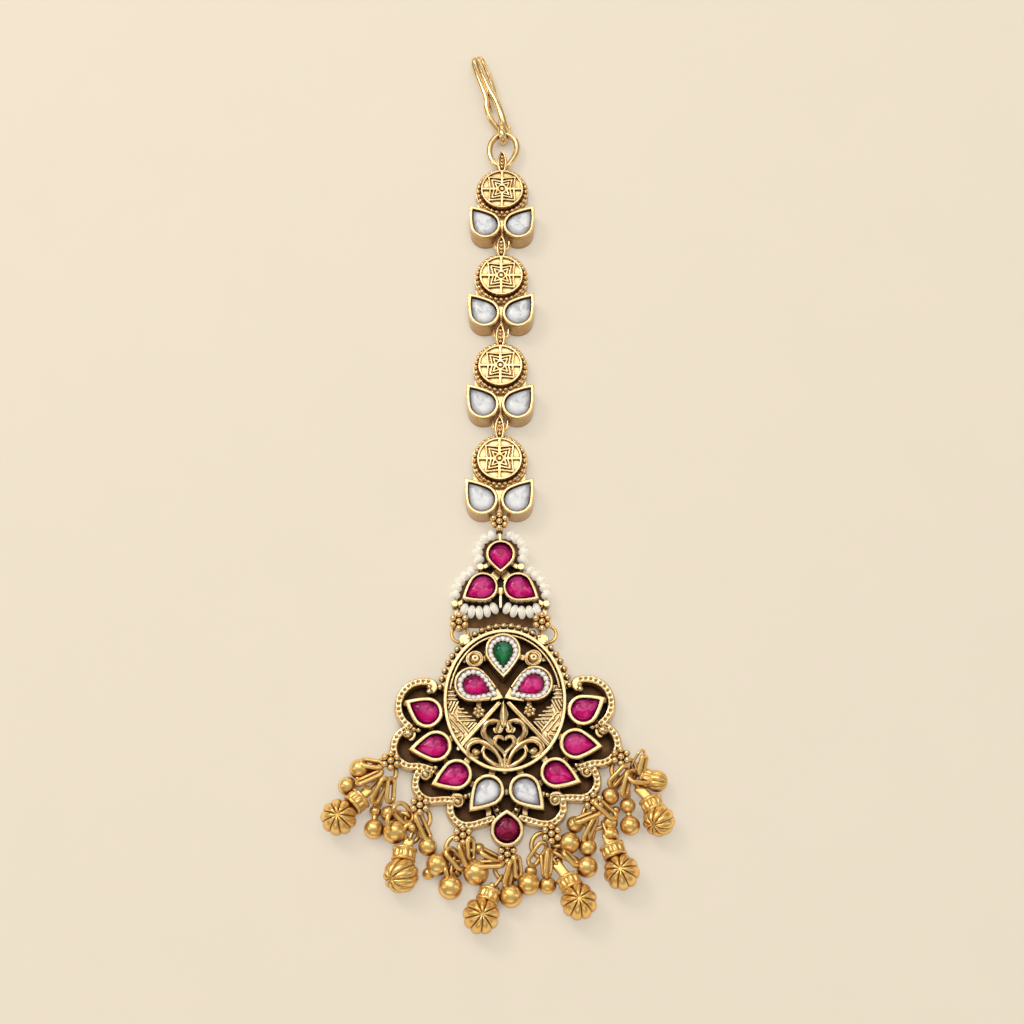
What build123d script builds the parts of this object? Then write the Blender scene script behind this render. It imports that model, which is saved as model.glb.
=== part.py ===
from build123d import *
from collections import namedtuple
from math import acos, asin, atan2, cos, degrees, hypot, radians, sin, sqrt
import os

# A maang tikka lying face up: hair hook, four cast links, a trefoil connector and a pierced oval pendant
# with a fan of bezels and bell drops. Millimetres, +Y towards the hook, +Z up, floor at z = 0, and the
# origin under the middle of the oval.

# ------------------------------------------------------------------ driving sizes
LEAN = 1.0  # the pendant's axis leans this many degrees from the chain's
GAP = 0.1  # running clearance between linked pieces
STONE_GAP = 0.06  # clearance between a stone and its bezel
REST = 0.03  # round balls stand this far off the floor
BEZEL_EDGE = 0.25  # height of the sloped top edge of a bezel
BEZEL_SLOPE = 30
FLOWER_SPREAD = 1.0  # a flower's grains stand this far from its middle
FLOWER_GRAIN = 0.45
FLOWER_BASE = 1.25
FLOWER_HEIGHT = 2.6

# chain links
LINK_PITCH = 18.47
LINK_TOP = (-0.7, 99.8)  # middle of the first medallion
LINK_DRIFT = -0.115  # sideways step from link to link
MEDAL_RADIUS = 5.05
MEDAL_FACE = 4.05
MEDAL_BASE = 2.1  # height of the grain groove
MEDAL_TOP = 3.2  # height of the face below its relief
MEDAL_RING = 0.33  # width of the raised ring round the face
MEDAL_GRAINS = 32
MEDAL_GRAIN = 0.3
GRAIN_CIRCLE = 4.55
RELIEF = 0.45
RELIEF_SUNK = 0.1  # raised lines start this far below the face that carries them
RIB = 0.28  # width of the relief's lines
LINK_BASE = 1.2
LEAF_HEIGHT = 4.4
LEAF_RADIUS = 2.94
LEAF_REACH = 5.07
LEAF_TURN = 53.0
LEAF_RIM = 0.55
LEAF_FLOOR = 2.9
LEAF_X = 3.12
LEAF_Y = -8.09
LINK_WIRE = 0.35  # radius of the loop below a link
WIRE_Z = 1.75  # height of the wires that carry the bails
LOOP_REACH = 1.4
LOOP_START = -9.6
LOOP_Y = -11.05
BAIL_LENGTH = 3.9
BAIL_HEIGHT = 2.8
BAIL_STRAP = 0.5
BAIL_WIDTH = 1.9
BAIL_TOP = 8.3
BAIL_LIFT = 0.35
BAIL_GRAIN = 0.3

# hook and top ring
HOOK_WIRE = 0.52
HOOK_EYE = 1.15  # half width of the eye, along its wire's middle
HOOK_TURN = 108.0
HOOK_LENGTH = 17.6
HOOK_BEND = 0.96  # bend radius as a share of the eye's
RING_WIRE = 0.45
RING_RADIUS = 2.75
RING_STRAIGHT = 2.0
RING_MIDDLE = (-0.5, 109.25)

# trefoil connector
CONNECTOR_X = -0.8
CONNECTOR_HEIGHT = 4.0
CONNECTOR_RIM = 0.45
CONNECTOR_BASE = 1.4  # height of its low bars
CONNECTOR_POST = 2.9
CONNECTOR_FLOWER = (7.3, 14.0)
HOOP_LENGTH = 2.9  # the strap round the last link's loop
HOOP_HEIGHT = 2.5
DISC = 0.35  # thickness of the disc under its flower
DISC_Z = 2.8
PEARL_Z = 1.9
PEARL_HOLE = 0.27
PEARL_WIRE = 0.15

# small jump rings
SIDE_RING = 1.45
SIDE_RING_WIRE = 0.3
SIDE_RING_Z = 1.6
BELL_RING = 2.1
BELL_RING_WIRE = 0.3
BELL_RING_Z = 1.55
BELL_RING_DROP = 2.2  # from a flower's middle to its ring's middle
DROP_WIRE = 0.25
DROP_LOOP = BELL_RING_WIRE + 1.5 * GAP + DROP_WIRE  # half height of a drop's wire loop
DROP_HEIGHT = 0.86  # lowest place for a ball, so that its wire loop clears the floor
OVAL_RING = 0.95  # half height of the oval ring
OVAL_RING_STRAIGHT = 1.9
OVAL_RING_TURN = 52.0
BELL_LOOP = 1.3  # straight run of a bell's wire loop
BELL_STRAP = 1.75  # a bell's strap starts this far along its loop
CAP_LENGTH = 1.5
CAP_FLUTES = 14
FLUTE = 0.16
MELON_LOBES = 11
MELON_GROOVE = 0.14  # depth of a groove as a share of the radius
MELON_LEVELS = (-0.97, -0.75, -0.4, 0.0, 0.4, 0.75, 0.97)

# pendant
BACK = 0.45  # thickness of the dark plates behind the pierced work
FOOTPRINT = 80.0  # longer than the pendant and the connector are wide
SEAT = 0.5  # the pierced castings stand this far off the floor
OVAL_X = 10.6
OVAL_Y = 12.5
OVAL_RIM = 0.55
SOLDER = 0.2  # castings run this far into the oval's rim
RIM_HEIGHT = 3.3
PLATE_HEIGHT = 2.3
SCROLL_HEIGHT = 3.0
BAND_X = 9.45  # inner edge of the laddered band
BAND_Y = 11.4
LEDGE_X = 11.5
LEDGE_Y = 13.45
LEDGE_HEIGHT = 1.9
BORDER_GRAINS = 25
BORDER_GRAIN = 0.58
BAND_FOOT = 2.0  # the band and the ledge end this far above the oval's middle
MOTIF_X = -0.2  # the oval's inner motifs sit this far off its axis
HATCH = 0.3  # width and height of the hatched lines
LADDER_PITCH = 6.2  # degrees between the rungs in the band
BOSS = 1.4  # round bosses between the halos
CURL_WIDTH = 1.15
CURL_HEIGHT = 2.6
DIMPLE = 0.17
DIMPLE_DEPTH = 0.3
DIMPLE_PITCH = 0.85
FAN_HEIGHT = 4.0
FAN_RIM = 0.62
HALO_HEIGHT = 4.6
HALO_RIM = 0.45
HALO_FLOOR = 3.9
HALO_SEAT = 2.9
SMALL_STONE = 0.37  # radius of the halos' round stones
STRUT_HEIGHT = 1.5
BEZEL_FLOOR = 2.5

PENDANT = Plane(origin=(0, 0, 0), x_dir=(cos(radians(LEAN)), sin(radians(LEAN)), 0), z_dir=(0, 0, 1))
MOTIF = PENDANT.shift_origin(PENDANT.from_local_coords((MOTIF_X, 0, 0)))

# ------------------------------------------------------------------ tables
Setting = namedtuple("Setting", "name x y radius reach turn")
Arc = namedtuple("Arc", "x y radius start end width")
Bar = namedtuple("Bar", "x1 y1 x2 y2 width")
Grain = namedtuple("Grain", "x y")
Curl = namedtuple("Curl", "x y radius start end tail_x tail_y")
Hatch = namedtuple("Hatch", "tip_x tip_y a_x a_y b_x b_y rows")
String = namedtuple("String", "x y radius start end first step length width")
Group = namedtuple("Group", "name x y hang")
Drop = namedtuple("Drop", "group turn x y radius x2 y2 radius2")
Bell = namedtuple("Bell", "name group turn cap_x cap_y cap_radius x y radius pole_x pole_y")
Cut = namedtuple("Cut", "girdle crown pavilion")
Stop = namedtuple("Stop", "along across level")
Chevron = namedtuple("Chevron", "corner foot")
Ball = namedtuple("Ball", "x y z radius")

# heights of the stones' girdles, crowns and pavilions
LEAF_CUT = Cut(3.6, 0.75, 0.65)
BEZEL_CUT = Cut(3.3, 0.8, 0.7)
HALO_CUT = Cut(4.1, 0.85, 1.1)

# the hook's strands: along it, across it, and low (-1) or high (1) in its eye
RIGHT_STRAND = [
    Stop(2.6, -0.05, -1),
    Stop(-HOOK_EYE, -0.05, -1),
    Stop(-HOOK_EYE, -0.05, 1),
    Stop(HOOK_LENGTH, -0.55, 1),
    Stop(HOOK_LENGTH, -1.75, -1),
    Stop(2.2, -1.9, -1),
]
LEFT_STRAND = [
    Stop(0.9, -0.1, 1),
    Stop(4.2, 1.35, 1),
    Stop(9.5, 1.15, 1),
    Stop(HOOK_LENGTH - 0.3, 0.65, 1),
    Stop(HOOK_LENGTH - 0.3, -0.5, -1),
    Stop(7.0, -0.55, -1),
]

# nested petals of the medallions: where a tip stands on the diagonal, and its feet on the ribs
PETALS = [Chevron(1.3, 0.85), Chevron(1.9, 1.5), Chevron(2.5, 2.25)]
BAIL_GRAINS = (5.6, 6.35, 7.1)

# bezels right of the axis, or on it; those off the axis are mirrored
FAN = [
    Setting("fan_ruby_1", 13.4, -2.2, 2.73, 4.43, 29.7),
    Setting("fan_ruby_2", 11.9, -8.0, 2.75, 4.78, -6.6),
    Setting("fan_ruby_3", 8.4, -12.9, 2.7, 4.73, -21.7),
    Setting("fan_clear", 3.08, -15.7, 2.8, 4.85, -47.1),
]
DROP_SETTING = Setting("drop_ruby", 0.0, -22.45, 2.85, 3.55, 90.0)
HALO_TOP = Setting("emerald", 0.0, 8.39, 3.15, 4.94, -90.0)
HALO_SIDE = Setting("halo_ruby", 5.48, 2.55, 3.1, 5.87, 203.6)
EMERALD = Setting("emerald", 0.0, 8.37, 1.78, 2.87, -90.0)
HALO_RUBY = Setting("halo_ruby", 5.05, 2.4, 1.95, 2.95, 206.0)
TREFOIL_TOP = Setting("connector_stone_top", 0.0, 26.17, 2.6, 3.57, -90.0)
TREFOIL_SIDE = Setting("connector_stone", 3.1, 20.1, 2.7, 4.3, -31.6)

# scrollwork of the oval, left half
SCROLL_ARCS = [
    Arc(-2.0, -5.35, 1.6, 90, 220, 0.95),  # flank of the large heart
    Arc(-1.55, -4.5, 0.8, -5, 95, 0.8),  # its shoulder
    Arc(-1.15, -5.1, 0.5, 180, 360, 0.55),  # its inner curl
    Arc(-1.0, -7.15, 0.8, 20, 205, 0.5),  # lobe of the small heart
    Arc(-5.0, -8.4, 1.5, 45, 275, 0.8),  # side arm
    Arc(0.2, -7.1, 4.45, 205, 262, 0.55),  # lower edge of the leaf loop
    Arc(-4.6, -11.8, 4.0, 8, 74, 0.5),  # upper edge of the leaf loop
]
SCROLL_BARS = [
    Bar(-2.0, -3.75, -1.5, -3.7, 0.85),
    Bar(-3.2, -6.35, -1.75, -8.15, 0.85),
    Bar(-1.75, -8.15, -0.3, -11.3, 0.6),
    Bar(-1.72, -7.5, -0.05, -9.3, 0.5),
    Bar(-3.9, -7.35, -1.8, -8.4, 0.8),
    Bar(-3.85, -8.95, -3.45, -8.05, 0.5),
    Bar(-0.9, -0.6, -7.9, -8.35, 0.7),  # diagonal
    Bar(-4.9, -9.9, -5.05, -8.95, 0.8),
    Bar(-4.35, -1.9, -4.35, -0.3, 0.8),
    Bar(0.0, -10.6, 0.0, -12.3, 1.0),  # stem
]
HATCHES = [
    Hatch(-9.4, 3.8, -10.5, 0.3, -8.3, 0.3, 5),
    Hatch(-10.4, -0.1, -9.2, -2.3, -8.1, -0.1, 4),
    Hatch(-7.9, -0.7, -8.3, -3.4, -5.2, -3.4, 4),
    Hatch(-10.2, -5.4, -8.9, -2.3, -6.2, -5.5, 4),
    Hatch(-6.9, -3.7, -6.2, -5.2, -5.0, -3.9, 3),
    Hatch(-10.3, -3.2, -9.3, -6.3, -7.3, -6.0, 4),
    Hatch(-9.2, -6.5, -7.8, -8.2, -6.4, -6.1, 3),
]
KEEL_LENGTHS = (0.1, 2.6, 4.5)  # the central keel's top, widest place and foot
KEEL_WIDTHS = (0.05, 0.75, 0.35)

# dotted curls of the fan, left half: the big arc and where its tail ends
CURLS = [
    Curl(-14.1, -0.75, 4.3, 72, 236, -16.2, -4.6),
    Curl(-15.9, -7.9, 3.3, 110, 287, -12.6, -11.9),
    Curl(-12.5, -14.1, 3.0, 130, 288, -8.7, -17.0),
    Curl(-6.5, -18.35, 3.1, 150, 283, -2.5, -20.35),
]
CURL_END = 0.85
# low bars that solder the fan together, left half
STRUTS = [
    Bar(-16.4, -4.4, -13.4, -2.2, 0.9),
    Bar(-16.7, -5.4, -16.2, -4.4, 0.9),
    Bar(-18.3, 0.3, -15.5, -0.8, 0.9),
    Bar(-13.3, -11.6, -11.9, -8.0, 0.9),
    Bar(-12.6, -11.9, -8.4, -12.9, 0.9),
    Bar(-8.9, -17.0, -8.4, -12.9, 0.9),
    Bar(-3.1, -20.6, -3.08, -15.7, 0.9),
    Bar(-7.0, -16.45, -5.0, -15.7, 0.9),
    Bar(-6.5, 2.4, -9.7, 2.1, 1.2),
    Bar(-5.1, 7.4, -2.4, 8.0, 1.0),
    Bar(-5.1, 7.3, -7.9, 7.6, 0.9),
]
ACCENTS = [
    Grain(-14.9, -5.0),
    Grain(-15.7, -4.8),
    Grain(-12.0, -11.5),
    Grain(-6.9, -16.45),
    Grain(-1.6, -18.9),
]

# low bars, posts and pin of the trefoil; the bars and posts are its right half
TREFOIL_BARS = [
    Bar(0.0, 26.0, 3.6, 24.2, 0.8),
    Bar(3.1, 20.1, 3.6, 24.2, 0.8),
    Bar(3.1, 20.1, 8.1, 17.3, 0.8),
    Bar(8.1, 17.3, 7.3, 14.0, 0.8),
    Bar(0.0, 24.0, 3.1, 20.1, 1.6),
    Bar(0.0, 20.1, 3.1, 20.1, 1.2),
]
TREFOIL_POSTS = [Grain(3.6, 24.1), Grain(8.1, 17.3)]
PIN = Bar(0.0, 16.7, 0.0, 18.6, 0.5)

# wires of seed pearls, right half, about the connector's axis: arc, first bead, step, bead size
STRINGS = [
    String(0.65, 26.9, 3.45, -32, 88, -22, 24.2, 1.25, 1.6),
    String(2.6, 18.6, 5.45, -6, 72, 4.8, 14.2, 1.15, 1.5),
    String(4.0, 21.55, 5.65, 231, 307, 239.5, 14.0, 1.15, 1.95),
]
BEADS_ON_STRING = 5

# flowers that carry bells, with the direction in which each ring hangs
GROUPS = [
    Group("left_outer", -19.65, -10.2, 235),
    Group("left_middle", -14.7, -17.85, 260),
    Group("left_inner", -7.45, -23.05, 250),
    Group("centre", 0.0, -26.3, 270),
    Group("right_inner", 7.45, -23.05, 235),
    Group("right_middle", 14.7, -17.85, 280),
    Group("right_outer", 19.65, -10.2, 285),
]
# ball drops: place on the ring, ball, and a second ball soldered to it
DROPS = [
    Drop("left_outer", 166, -24.9, -11.8, 1.5, 0, 0, 0),
    Drop("left_outer", 199, -26.9, -14.7, 1.4, 0, 0, 0),
    Drop("left_outer", 265, -22.05, -18.9, 0.9, -22.15, -22.0, 1.5),
    Drop("left_middle", 169, -19.75, -19.3, 1.2, 0, 0, 0),
    Drop("left_middle", 210, -18.6, -22.5, 1.8, 0, 0, 0),
    Drop("left_middle", 291, -13.0, -24.9, 1.4, 0, 0, 0),
    Drop("left_inner", 217, -11.3, -27.9, 1.7, -12.8, -29.3, 0.95),
    Drop("left_inner", 259, -9.1, -31.7, 1.8, 0, 0, 0),
    Drop("left_inner", 306, -4.8, -29.3, 1.9, 0, 0, 0),
    Drop("left_inner", 1, -4.35, -25.2, 0.9, 0, 0, 0),
    Drop("centre", 157, -2.9, -26.9, 0.65, 0, 0, 0),
    Drop("centre", 277, 1.0, -33.1, 1.75, 0, 0, 0),
    Drop("centre", 323, 4.0, -31.1, 1.65, 4.4, -29.0, 0.95),
    Drop("right_inner", 8, 10.9, -24.3, 1.6, 0, 0, 0),
    Drop("right_inner", 335, 13.8, -28.3, 1.6, 0, 0, 0),
    Drop("right_inner", 269, 7.2, -31.3, 1.3, 0, 0, 0),
    Drop("right_middle", 202, 11.9, -21.2, 1.3, 0, 0, 0),
    Drop("right_middle", 254, 14.0, -25.0, 1.35, 0, 0, 0),
    Drop("right_outer", 238, 17.95, -16.4, 1.35, 0, 0, 0),
    Drop("right_outer", 273, 20.9, -18.0, 1.2, 21.2, -21.4, 1.5),
]
BELLS = [
    Bell("bell_left_outer", "left_outer", 232, -25.0, -17.3, 1.7, -28.0, -20.2, 3.1, 0.0, 0.0),
    Bell("bell_left_middle", "left_middle", 250, -16.9, -26.2, 1.75, -17.3, -29.8, 3.0, -0.6, -0.3),
    Bell("bell_centre", "centre", 235, -2.6, -33.0, 1.65, -3.9, -36.4, 3.1, 0.1, 0.0),
    Bell("bell_right_inner", "right_inner", 302, 10.8, -30.8, 1.7, 12.3, -34.1, 3.1, 0.0, 0.1),
    Bell("bell_right_middle", "right_middle", 308, 18.2, -25.6, 1.75, 19.5, -29.3, 3.05, -0.15, 0.1),
    Bell("bell_right_outer", "right_outer", 308, 24.9, -17.8, 1.6, 26.0, -20.7, 2.75, -0.46, -0.42),
    Bell("bell_right_side", "right_outer", 343, 24.1, -13.35, 1.35, 25.9, -13.9, 1.9, 0.9, -0.2),
]
KNOB = Ball(17.85, -22.85, 1.45 + REST, 1.45)  # the ball above the cap of bell_right_middle
# balls of the scrollwork, right half
SCROLL_BALLS = [Ball(5.05, -8.95, 2.8, 0.65), Ball(4.35, -1.9, 2.2, 0.85)]


# ------------------------------------------------------------------ sketch objects
class Pear(BaseSketchObject):
    """Pear outline: round end about the local origin, point at reach along X."""

    def __init__(self, radius, reach, bulge=8, rotation=0, mode=Mode.ADD):
        start = degrees(acos(radius / reach)) + bulge
        with BuildSketch() as shape:
            with BuildLine():
                back = CenterArc((0, 0), radius, start, 360 - 2 * start)
                TangentArc(back @ 0, (reach, 0), tangent=(back % 0) * -1)
                TangentArc(back @ 1, (reach, 0), tangent=back % 1)
            make_face()
        super().__init__(obj=shape.sketch, rotation=rotation, align=None, mode=mode)


class BarStroke(BaseSketchObject):
    """A straight stroke with round ends."""

    def __init__(self, bar, mode=Mode.ADD):
        length = hypot(bar.x2 - bar.x1, bar.y2 - bar.y1)
        turn = degrees(atan2(bar.y2 - bar.y1, bar.x2 - bar.x1))
        with BuildSketch() as shape:
            with Locations(((bar.x1 + bar.x2) / 2, (bar.y1 + bar.y2) / 2)):
                SlotCenterToCenter(length, bar.width, rotation=turn)
        super().__init__(obj=shape.sketch, rotation=0, align=None, mode=mode)


class ArcStroke(BaseSketchObject):
    """A curved stroke with round ends."""

    def __init__(self, arc, mode=Mode.ADD):
        line = Edge.make_circle(arc.radius, start_angle=arc.start, end_angle=arc.end)
        with BuildSketch() as shape:
            with Locations((arc.x, arc.y)):
                SlotArc(line, arc.width)
        super().__init__(obj=shape.sketch, rotation=0, align=None, mode=mode)


# ------------------------------------------------------------------ helpers
def on_circle(x, y, radius, turn):
    return x + radius * cos(radians(turn)), y + radius * sin(radians(turn))


def ring_points(x, y, radius, count, first=0.0):
    return [on_circle(x, y, radius, first + 360 * k / count) for k in range(count)]


def flower_points(x, y, radius):
    return [(x, y)] + ring_points(x, y, radius, 6, 30)


def flower_grains(base, x, y, z):
    with BuildPart() as grains:
        for place in flower_points(x, y, FLOWER_SPREAD):
            with Locations(base.from_local_coords((*place, z))):
                Sphere(FLOWER_GRAIN)
    return grains.part


def inset(setting, rim, clearance=0.0):
    """The setting's outline moved in by its rim, as radius and reach."""
    radius = setting.radius - rim - clearance
    return radius, setting.reach * radius / setting.radius


def mirrored(setting):
    return setting._replace(x=-setting.x, turn=180 - setting.turn)


def mirrored_bar(bar):
    return Bar(-bar.x1, bar.y1, -bar.x2, bar.y2, bar.width)


def mirrored_arc(arc):
    return Arc(-arc.x, arc.y, arc.radius, 180 - arc.end, 180 - arc.start, arc.width)


def both_sides(rows, mirror_row):
    return list(rows) + [mirror_row(row) for row in rows]


def pear_points(radius, reach, count, x=0.0, y=0.0, turn=0.0):
    """Points at equal steps along a pear outline, the first one at its tip."""
    wire = Pear(radius, reach).face().outer_wire()
    tip = wire.param_at_point(Vector(reach, 0, 0))
    points = []
    for k in range(count):
        place = wire.position_at((tip + k / count) % 1.0)
        spin = place.rotate(Axis.Z, turn)
        points.append((x + spin.X, y + spin.Y))
    return points


def world(x, y, z=0.0):
    """A place on the pendant in the part's own frame."""
    return PENDANT.from_local_coords(Vector(x, y, z))


def ring_centre(group):
    flower = world(group.x, group.y)
    x, y = on_circle(flower.X, flower.Y, BELL_RING_DROP, group.hang)
    return Vector(x, y, BELL_RING_Z)


def save(name, builder):
    builder.part.label = name
    export_step(builder.part, f"parts/{name}.step")


def fitted(setting, rim):
    """The outline of the stone that a setting holds."""
    radius, reach = inset(setting, rim, STONE_GAP)
    return setting._replace(radius=radius, reach=reach)


def cut_stones(name, base, stones, cut, sides=14, slope=36):
    """Stones with a flat table: each row is a setting whose outline is the stone's own."""
    with BuildPart() as gems:
        for row in stones:
            points = pear_points(row.radius, row.reach, sides, row.x, row.y, row.turn)
            with BuildSketch(base.offset(cut.girdle)) as girdle:
                Polygon(*points, align=None)
            extrude(amount=cut.crown, taper=slope)
            extrude(girdle.sketch, amount=-cut.pavilion, taper=slope)
    save(name, gems)


def wire_loop(plane, bend, straight, wire):
    """A closed loop of round wire: two half turns and two straight runs along the plane's X."""
    with BuildPart() as loop:
        with BuildLine(plane) as path:
            near = CenterArc((0, 0), bend, 90, 180)
            far = CenterArc((straight, 0), bend, -90, 180)
            Line(near @ 1, far @ 0)
            Line(far @ 1, near @ 0)
        with BuildSketch(Plane(origin=path.line @ 0, z_dir=path.line % 0)):
            Circle(wire)
        sweep()
    return loop.part


def bezel_walls(base, settings, height, slope=BEZEL_SLOPE):
    """Solid pear blocks whose top edges slope inwards."""
    shoulder = height - BEZEL_EDGE
    with BuildPart() as walls:
        for bottom, amount, taper in ((0, shoulder, 0), (shoulder, BEZEL_EDGE, slope)):
            with BuildSketch(base.offset(bottom)):
                for row in settings:
                    with Locations((row.x, row.y)):
                        Pear(row.radius, row.reach, rotation=row.turn)
            extrude(amount=amount, taper=taper)
    return walls.part


def pear_hollows(base, settings, rim, floor):
    """The room inside pear bezels above their floor."""
    with BuildPart() as hollows:
        with BuildSketch(base.offset(floor)):
            for row in settings:
                with Locations((row.x, row.y)):
                    Pear(*inset(row, rim), rotation=row.turn)
        extrude(amount=floor)
    return hollows.part


# ------------------------------------------------------------------ hook and top ring
def make_hook():
    ring_top = RING_MIDDLE[1] + RING_STRAIGHT / 2 + RING_RADIUS
    along = (cos(radians(HOOK_TURN)), sin(radians(HOOK_TURN)), 0)
    base = Plane(origin=(RING_MIDDLE[0], ring_top, WIRE_Z), x_dir=along, z_dir=(0, 0, 1))
    with BuildPart() as hook:
        for strand in (RIGHT_STRAND, LEFT_STRAND):
            with BuildLine(base) as path:
                FilletPolyline(
                    *[(stop.along, stop.across, stop.level * HOOK_EYE) for stop in strand],
                    radius=HOOK_EYE * HOOK_BEND,
                )
            with BuildSketch(Plane(origin=path.line @ 0, z_dir=path.line % 0)):
                Circle(HOOK_WIRE)
            sweep()
    save("hook", hook)


def make_top_ring():
    middle = Vector(*RING_MIDDLE, WIRE_Z)
    lower = Plane(origin=middle - (0, RING_STRAIGHT / 2, 0), x_dir=(0, 1, 0), z_dir=(0, 0, 1))
    with BuildPart() as ring:
        add(wire_loop(lower, RING_RADIUS, RING_STRAIGHT, RING_WIRE))
    save("top_ring", ring)


# ------------------------------------------------------------------ chain links
def bail(base):
    """A folded strap with a pointed oval outline, closed round the wire above."""
    middle = BAIL_TOP - BAIL_LENGTH / 2
    centre = base.from_local_coords((0, middle, BAIL_HEIGHT / 2 + BAIL_LIFT))
    side = Plane(origin=centre, x_dir=base.y_dir, z_dir=base.x_dir)
    hole_length = BAIL_LENGTH - 2 * BAIL_STRAP
    hole_height = BAIL_HEIGHT - 2 * BAIL_STRAP
    with BuildPart() as strap:
        with BuildSketch(side):
            RectangleRounded(BAIL_LENGTH, BAIL_HEIGHT, 1.2)
            RectangleRounded(hole_length, hole_height, 0.75, mode=Mode.SUBTRACT)
        extrude(amount=BAIL_WIDTH / 2, both=True)
        with BuildSketch(base):
            with BuildLine():
                ThreePointArc((0, 3.2), (BAIL_WIDTH / 2, 5.9), (0, BAIL_TOP + 0.15))
                ThreePointArc((0, BAIL_TOP + 0.15), (-BAIL_WIDTH / 2, 5.9), (0, 3.2))
            make_face()
        extrude(amount=LEAF_HEIGHT, mode=Mode.INTERSECT)
        with Locations([base.from_local_coords((0, y, BAIL_HEIGHT + BAIL_GRAIN)) for y in BAIL_GRAINS]):
            Sphere(BAIL_GRAIN)
    return strap.part


def relief_bars():
    """The medallion's relief: four ribs with nested petals between them."""
    bars = []
    edge = MEDAL_FACE - MEDAL_RING
    for quarter in range(4):
        turn = 90 * quarter
        bars.append(Bar(*on_circle(0, 0, 0.9, turn), *on_circle(0, 0, edge, turn), 1.6 * RIB))
        for row in PETALS:
            tip = on_circle(0, 0, row.corner * sqrt(2), turn + 45)
            for foot_turn in (turn, turn + 90):
                bars.append(Bar(*on_circle(0, 0, row.foot, foot_turn), *tip, RIB))
    return bars


def make_link(number):
    x = LINK_TOP[0] + LINK_DRIFT * (number - 1)
    y = LINK_TOP[1] - LINK_PITCH * (number - 1)
    base = Plane(origin=(x, y, 0))
    leaves = [
        Setting("right", LEAF_X, LEAF_Y, LEAF_RADIUS, LEAF_REACH, LEAF_TURN),
        Setting("left", -LEAF_X, LEAF_Y, LEAF_RADIUS, LEAF_REACH, 180 - LEAF_TURN),
    ]
    with BuildPart() as link:
        with BuildSketch(base):
            Circle(MEDAL_RADIUS)
        extrude(amount=MEDAL_BASE)
        with BuildSketch(base):
            Circle(MEDAL_FACE)
        extrude(amount=MEDAL_TOP)
        with BuildSketch(base.offset(MEDAL_TOP - RELIEF_SUNK)):
            Circle(MEDAL_FACE)
            Circle(MEDAL_FACE - MEDAL_RING, mode=Mode.SUBTRACT)
            Circle(0.9)
            Circle(0.62, mode=Mode.SUBTRACT)
            Circle(0.34)
            for bar in relief_bars():
                BarStroke(bar)
        extrude(amount=RELIEF + RELIEF_SUNK)
        with BuildSketch(base):
            Polygon((-4.8, -2), (-4.6, -6.5), (-1.2, -9.7), (1.2, -9.7), (4.6, -6.5), (4.8, -2), align=None)
        extrude(amount=LINK_BASE)
        add(bezel_walls(base, leaves, LEAF_HEIGHT, slope=35))
        add(pear_hollows(base, leaves, LEAF_RIM, LEAF_FLOOR), mode=Mode.SUBTRACT)
        with Locations(base.offset(MEDAL_BASE + 0.2)):
            with PolarLocations(GRAIN_CIRCLE, MEDAL_GRAINS):
                Sphere(MEDAL_GRAIN)
        with BuildLine(base.offset(WIRE_Z)) as loop:
            down = Line((-LOOP_REACH, LOOP_START), (-LOOP_REACH, LOOP_Y))
            turn = CenterArc((0, LOOP_Y), LOOP_REACH, 180, 180)
            Line(turn @ 1, (LOOP_REACH, LOOP_START))
        with BuildSketch(Plane(origin=down @ 0, z_dir=down % 0)):
            Circle(LINK_WIRE)
        sweep(path=loop.line)
        add(bail(base))
    save(f"link_{number}", link)
    cut_stones(f"link_stones_{number}", base, [fitted(leaf, LEAF_RIM) for leaf in leaves], LEAF_CUT)


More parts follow.
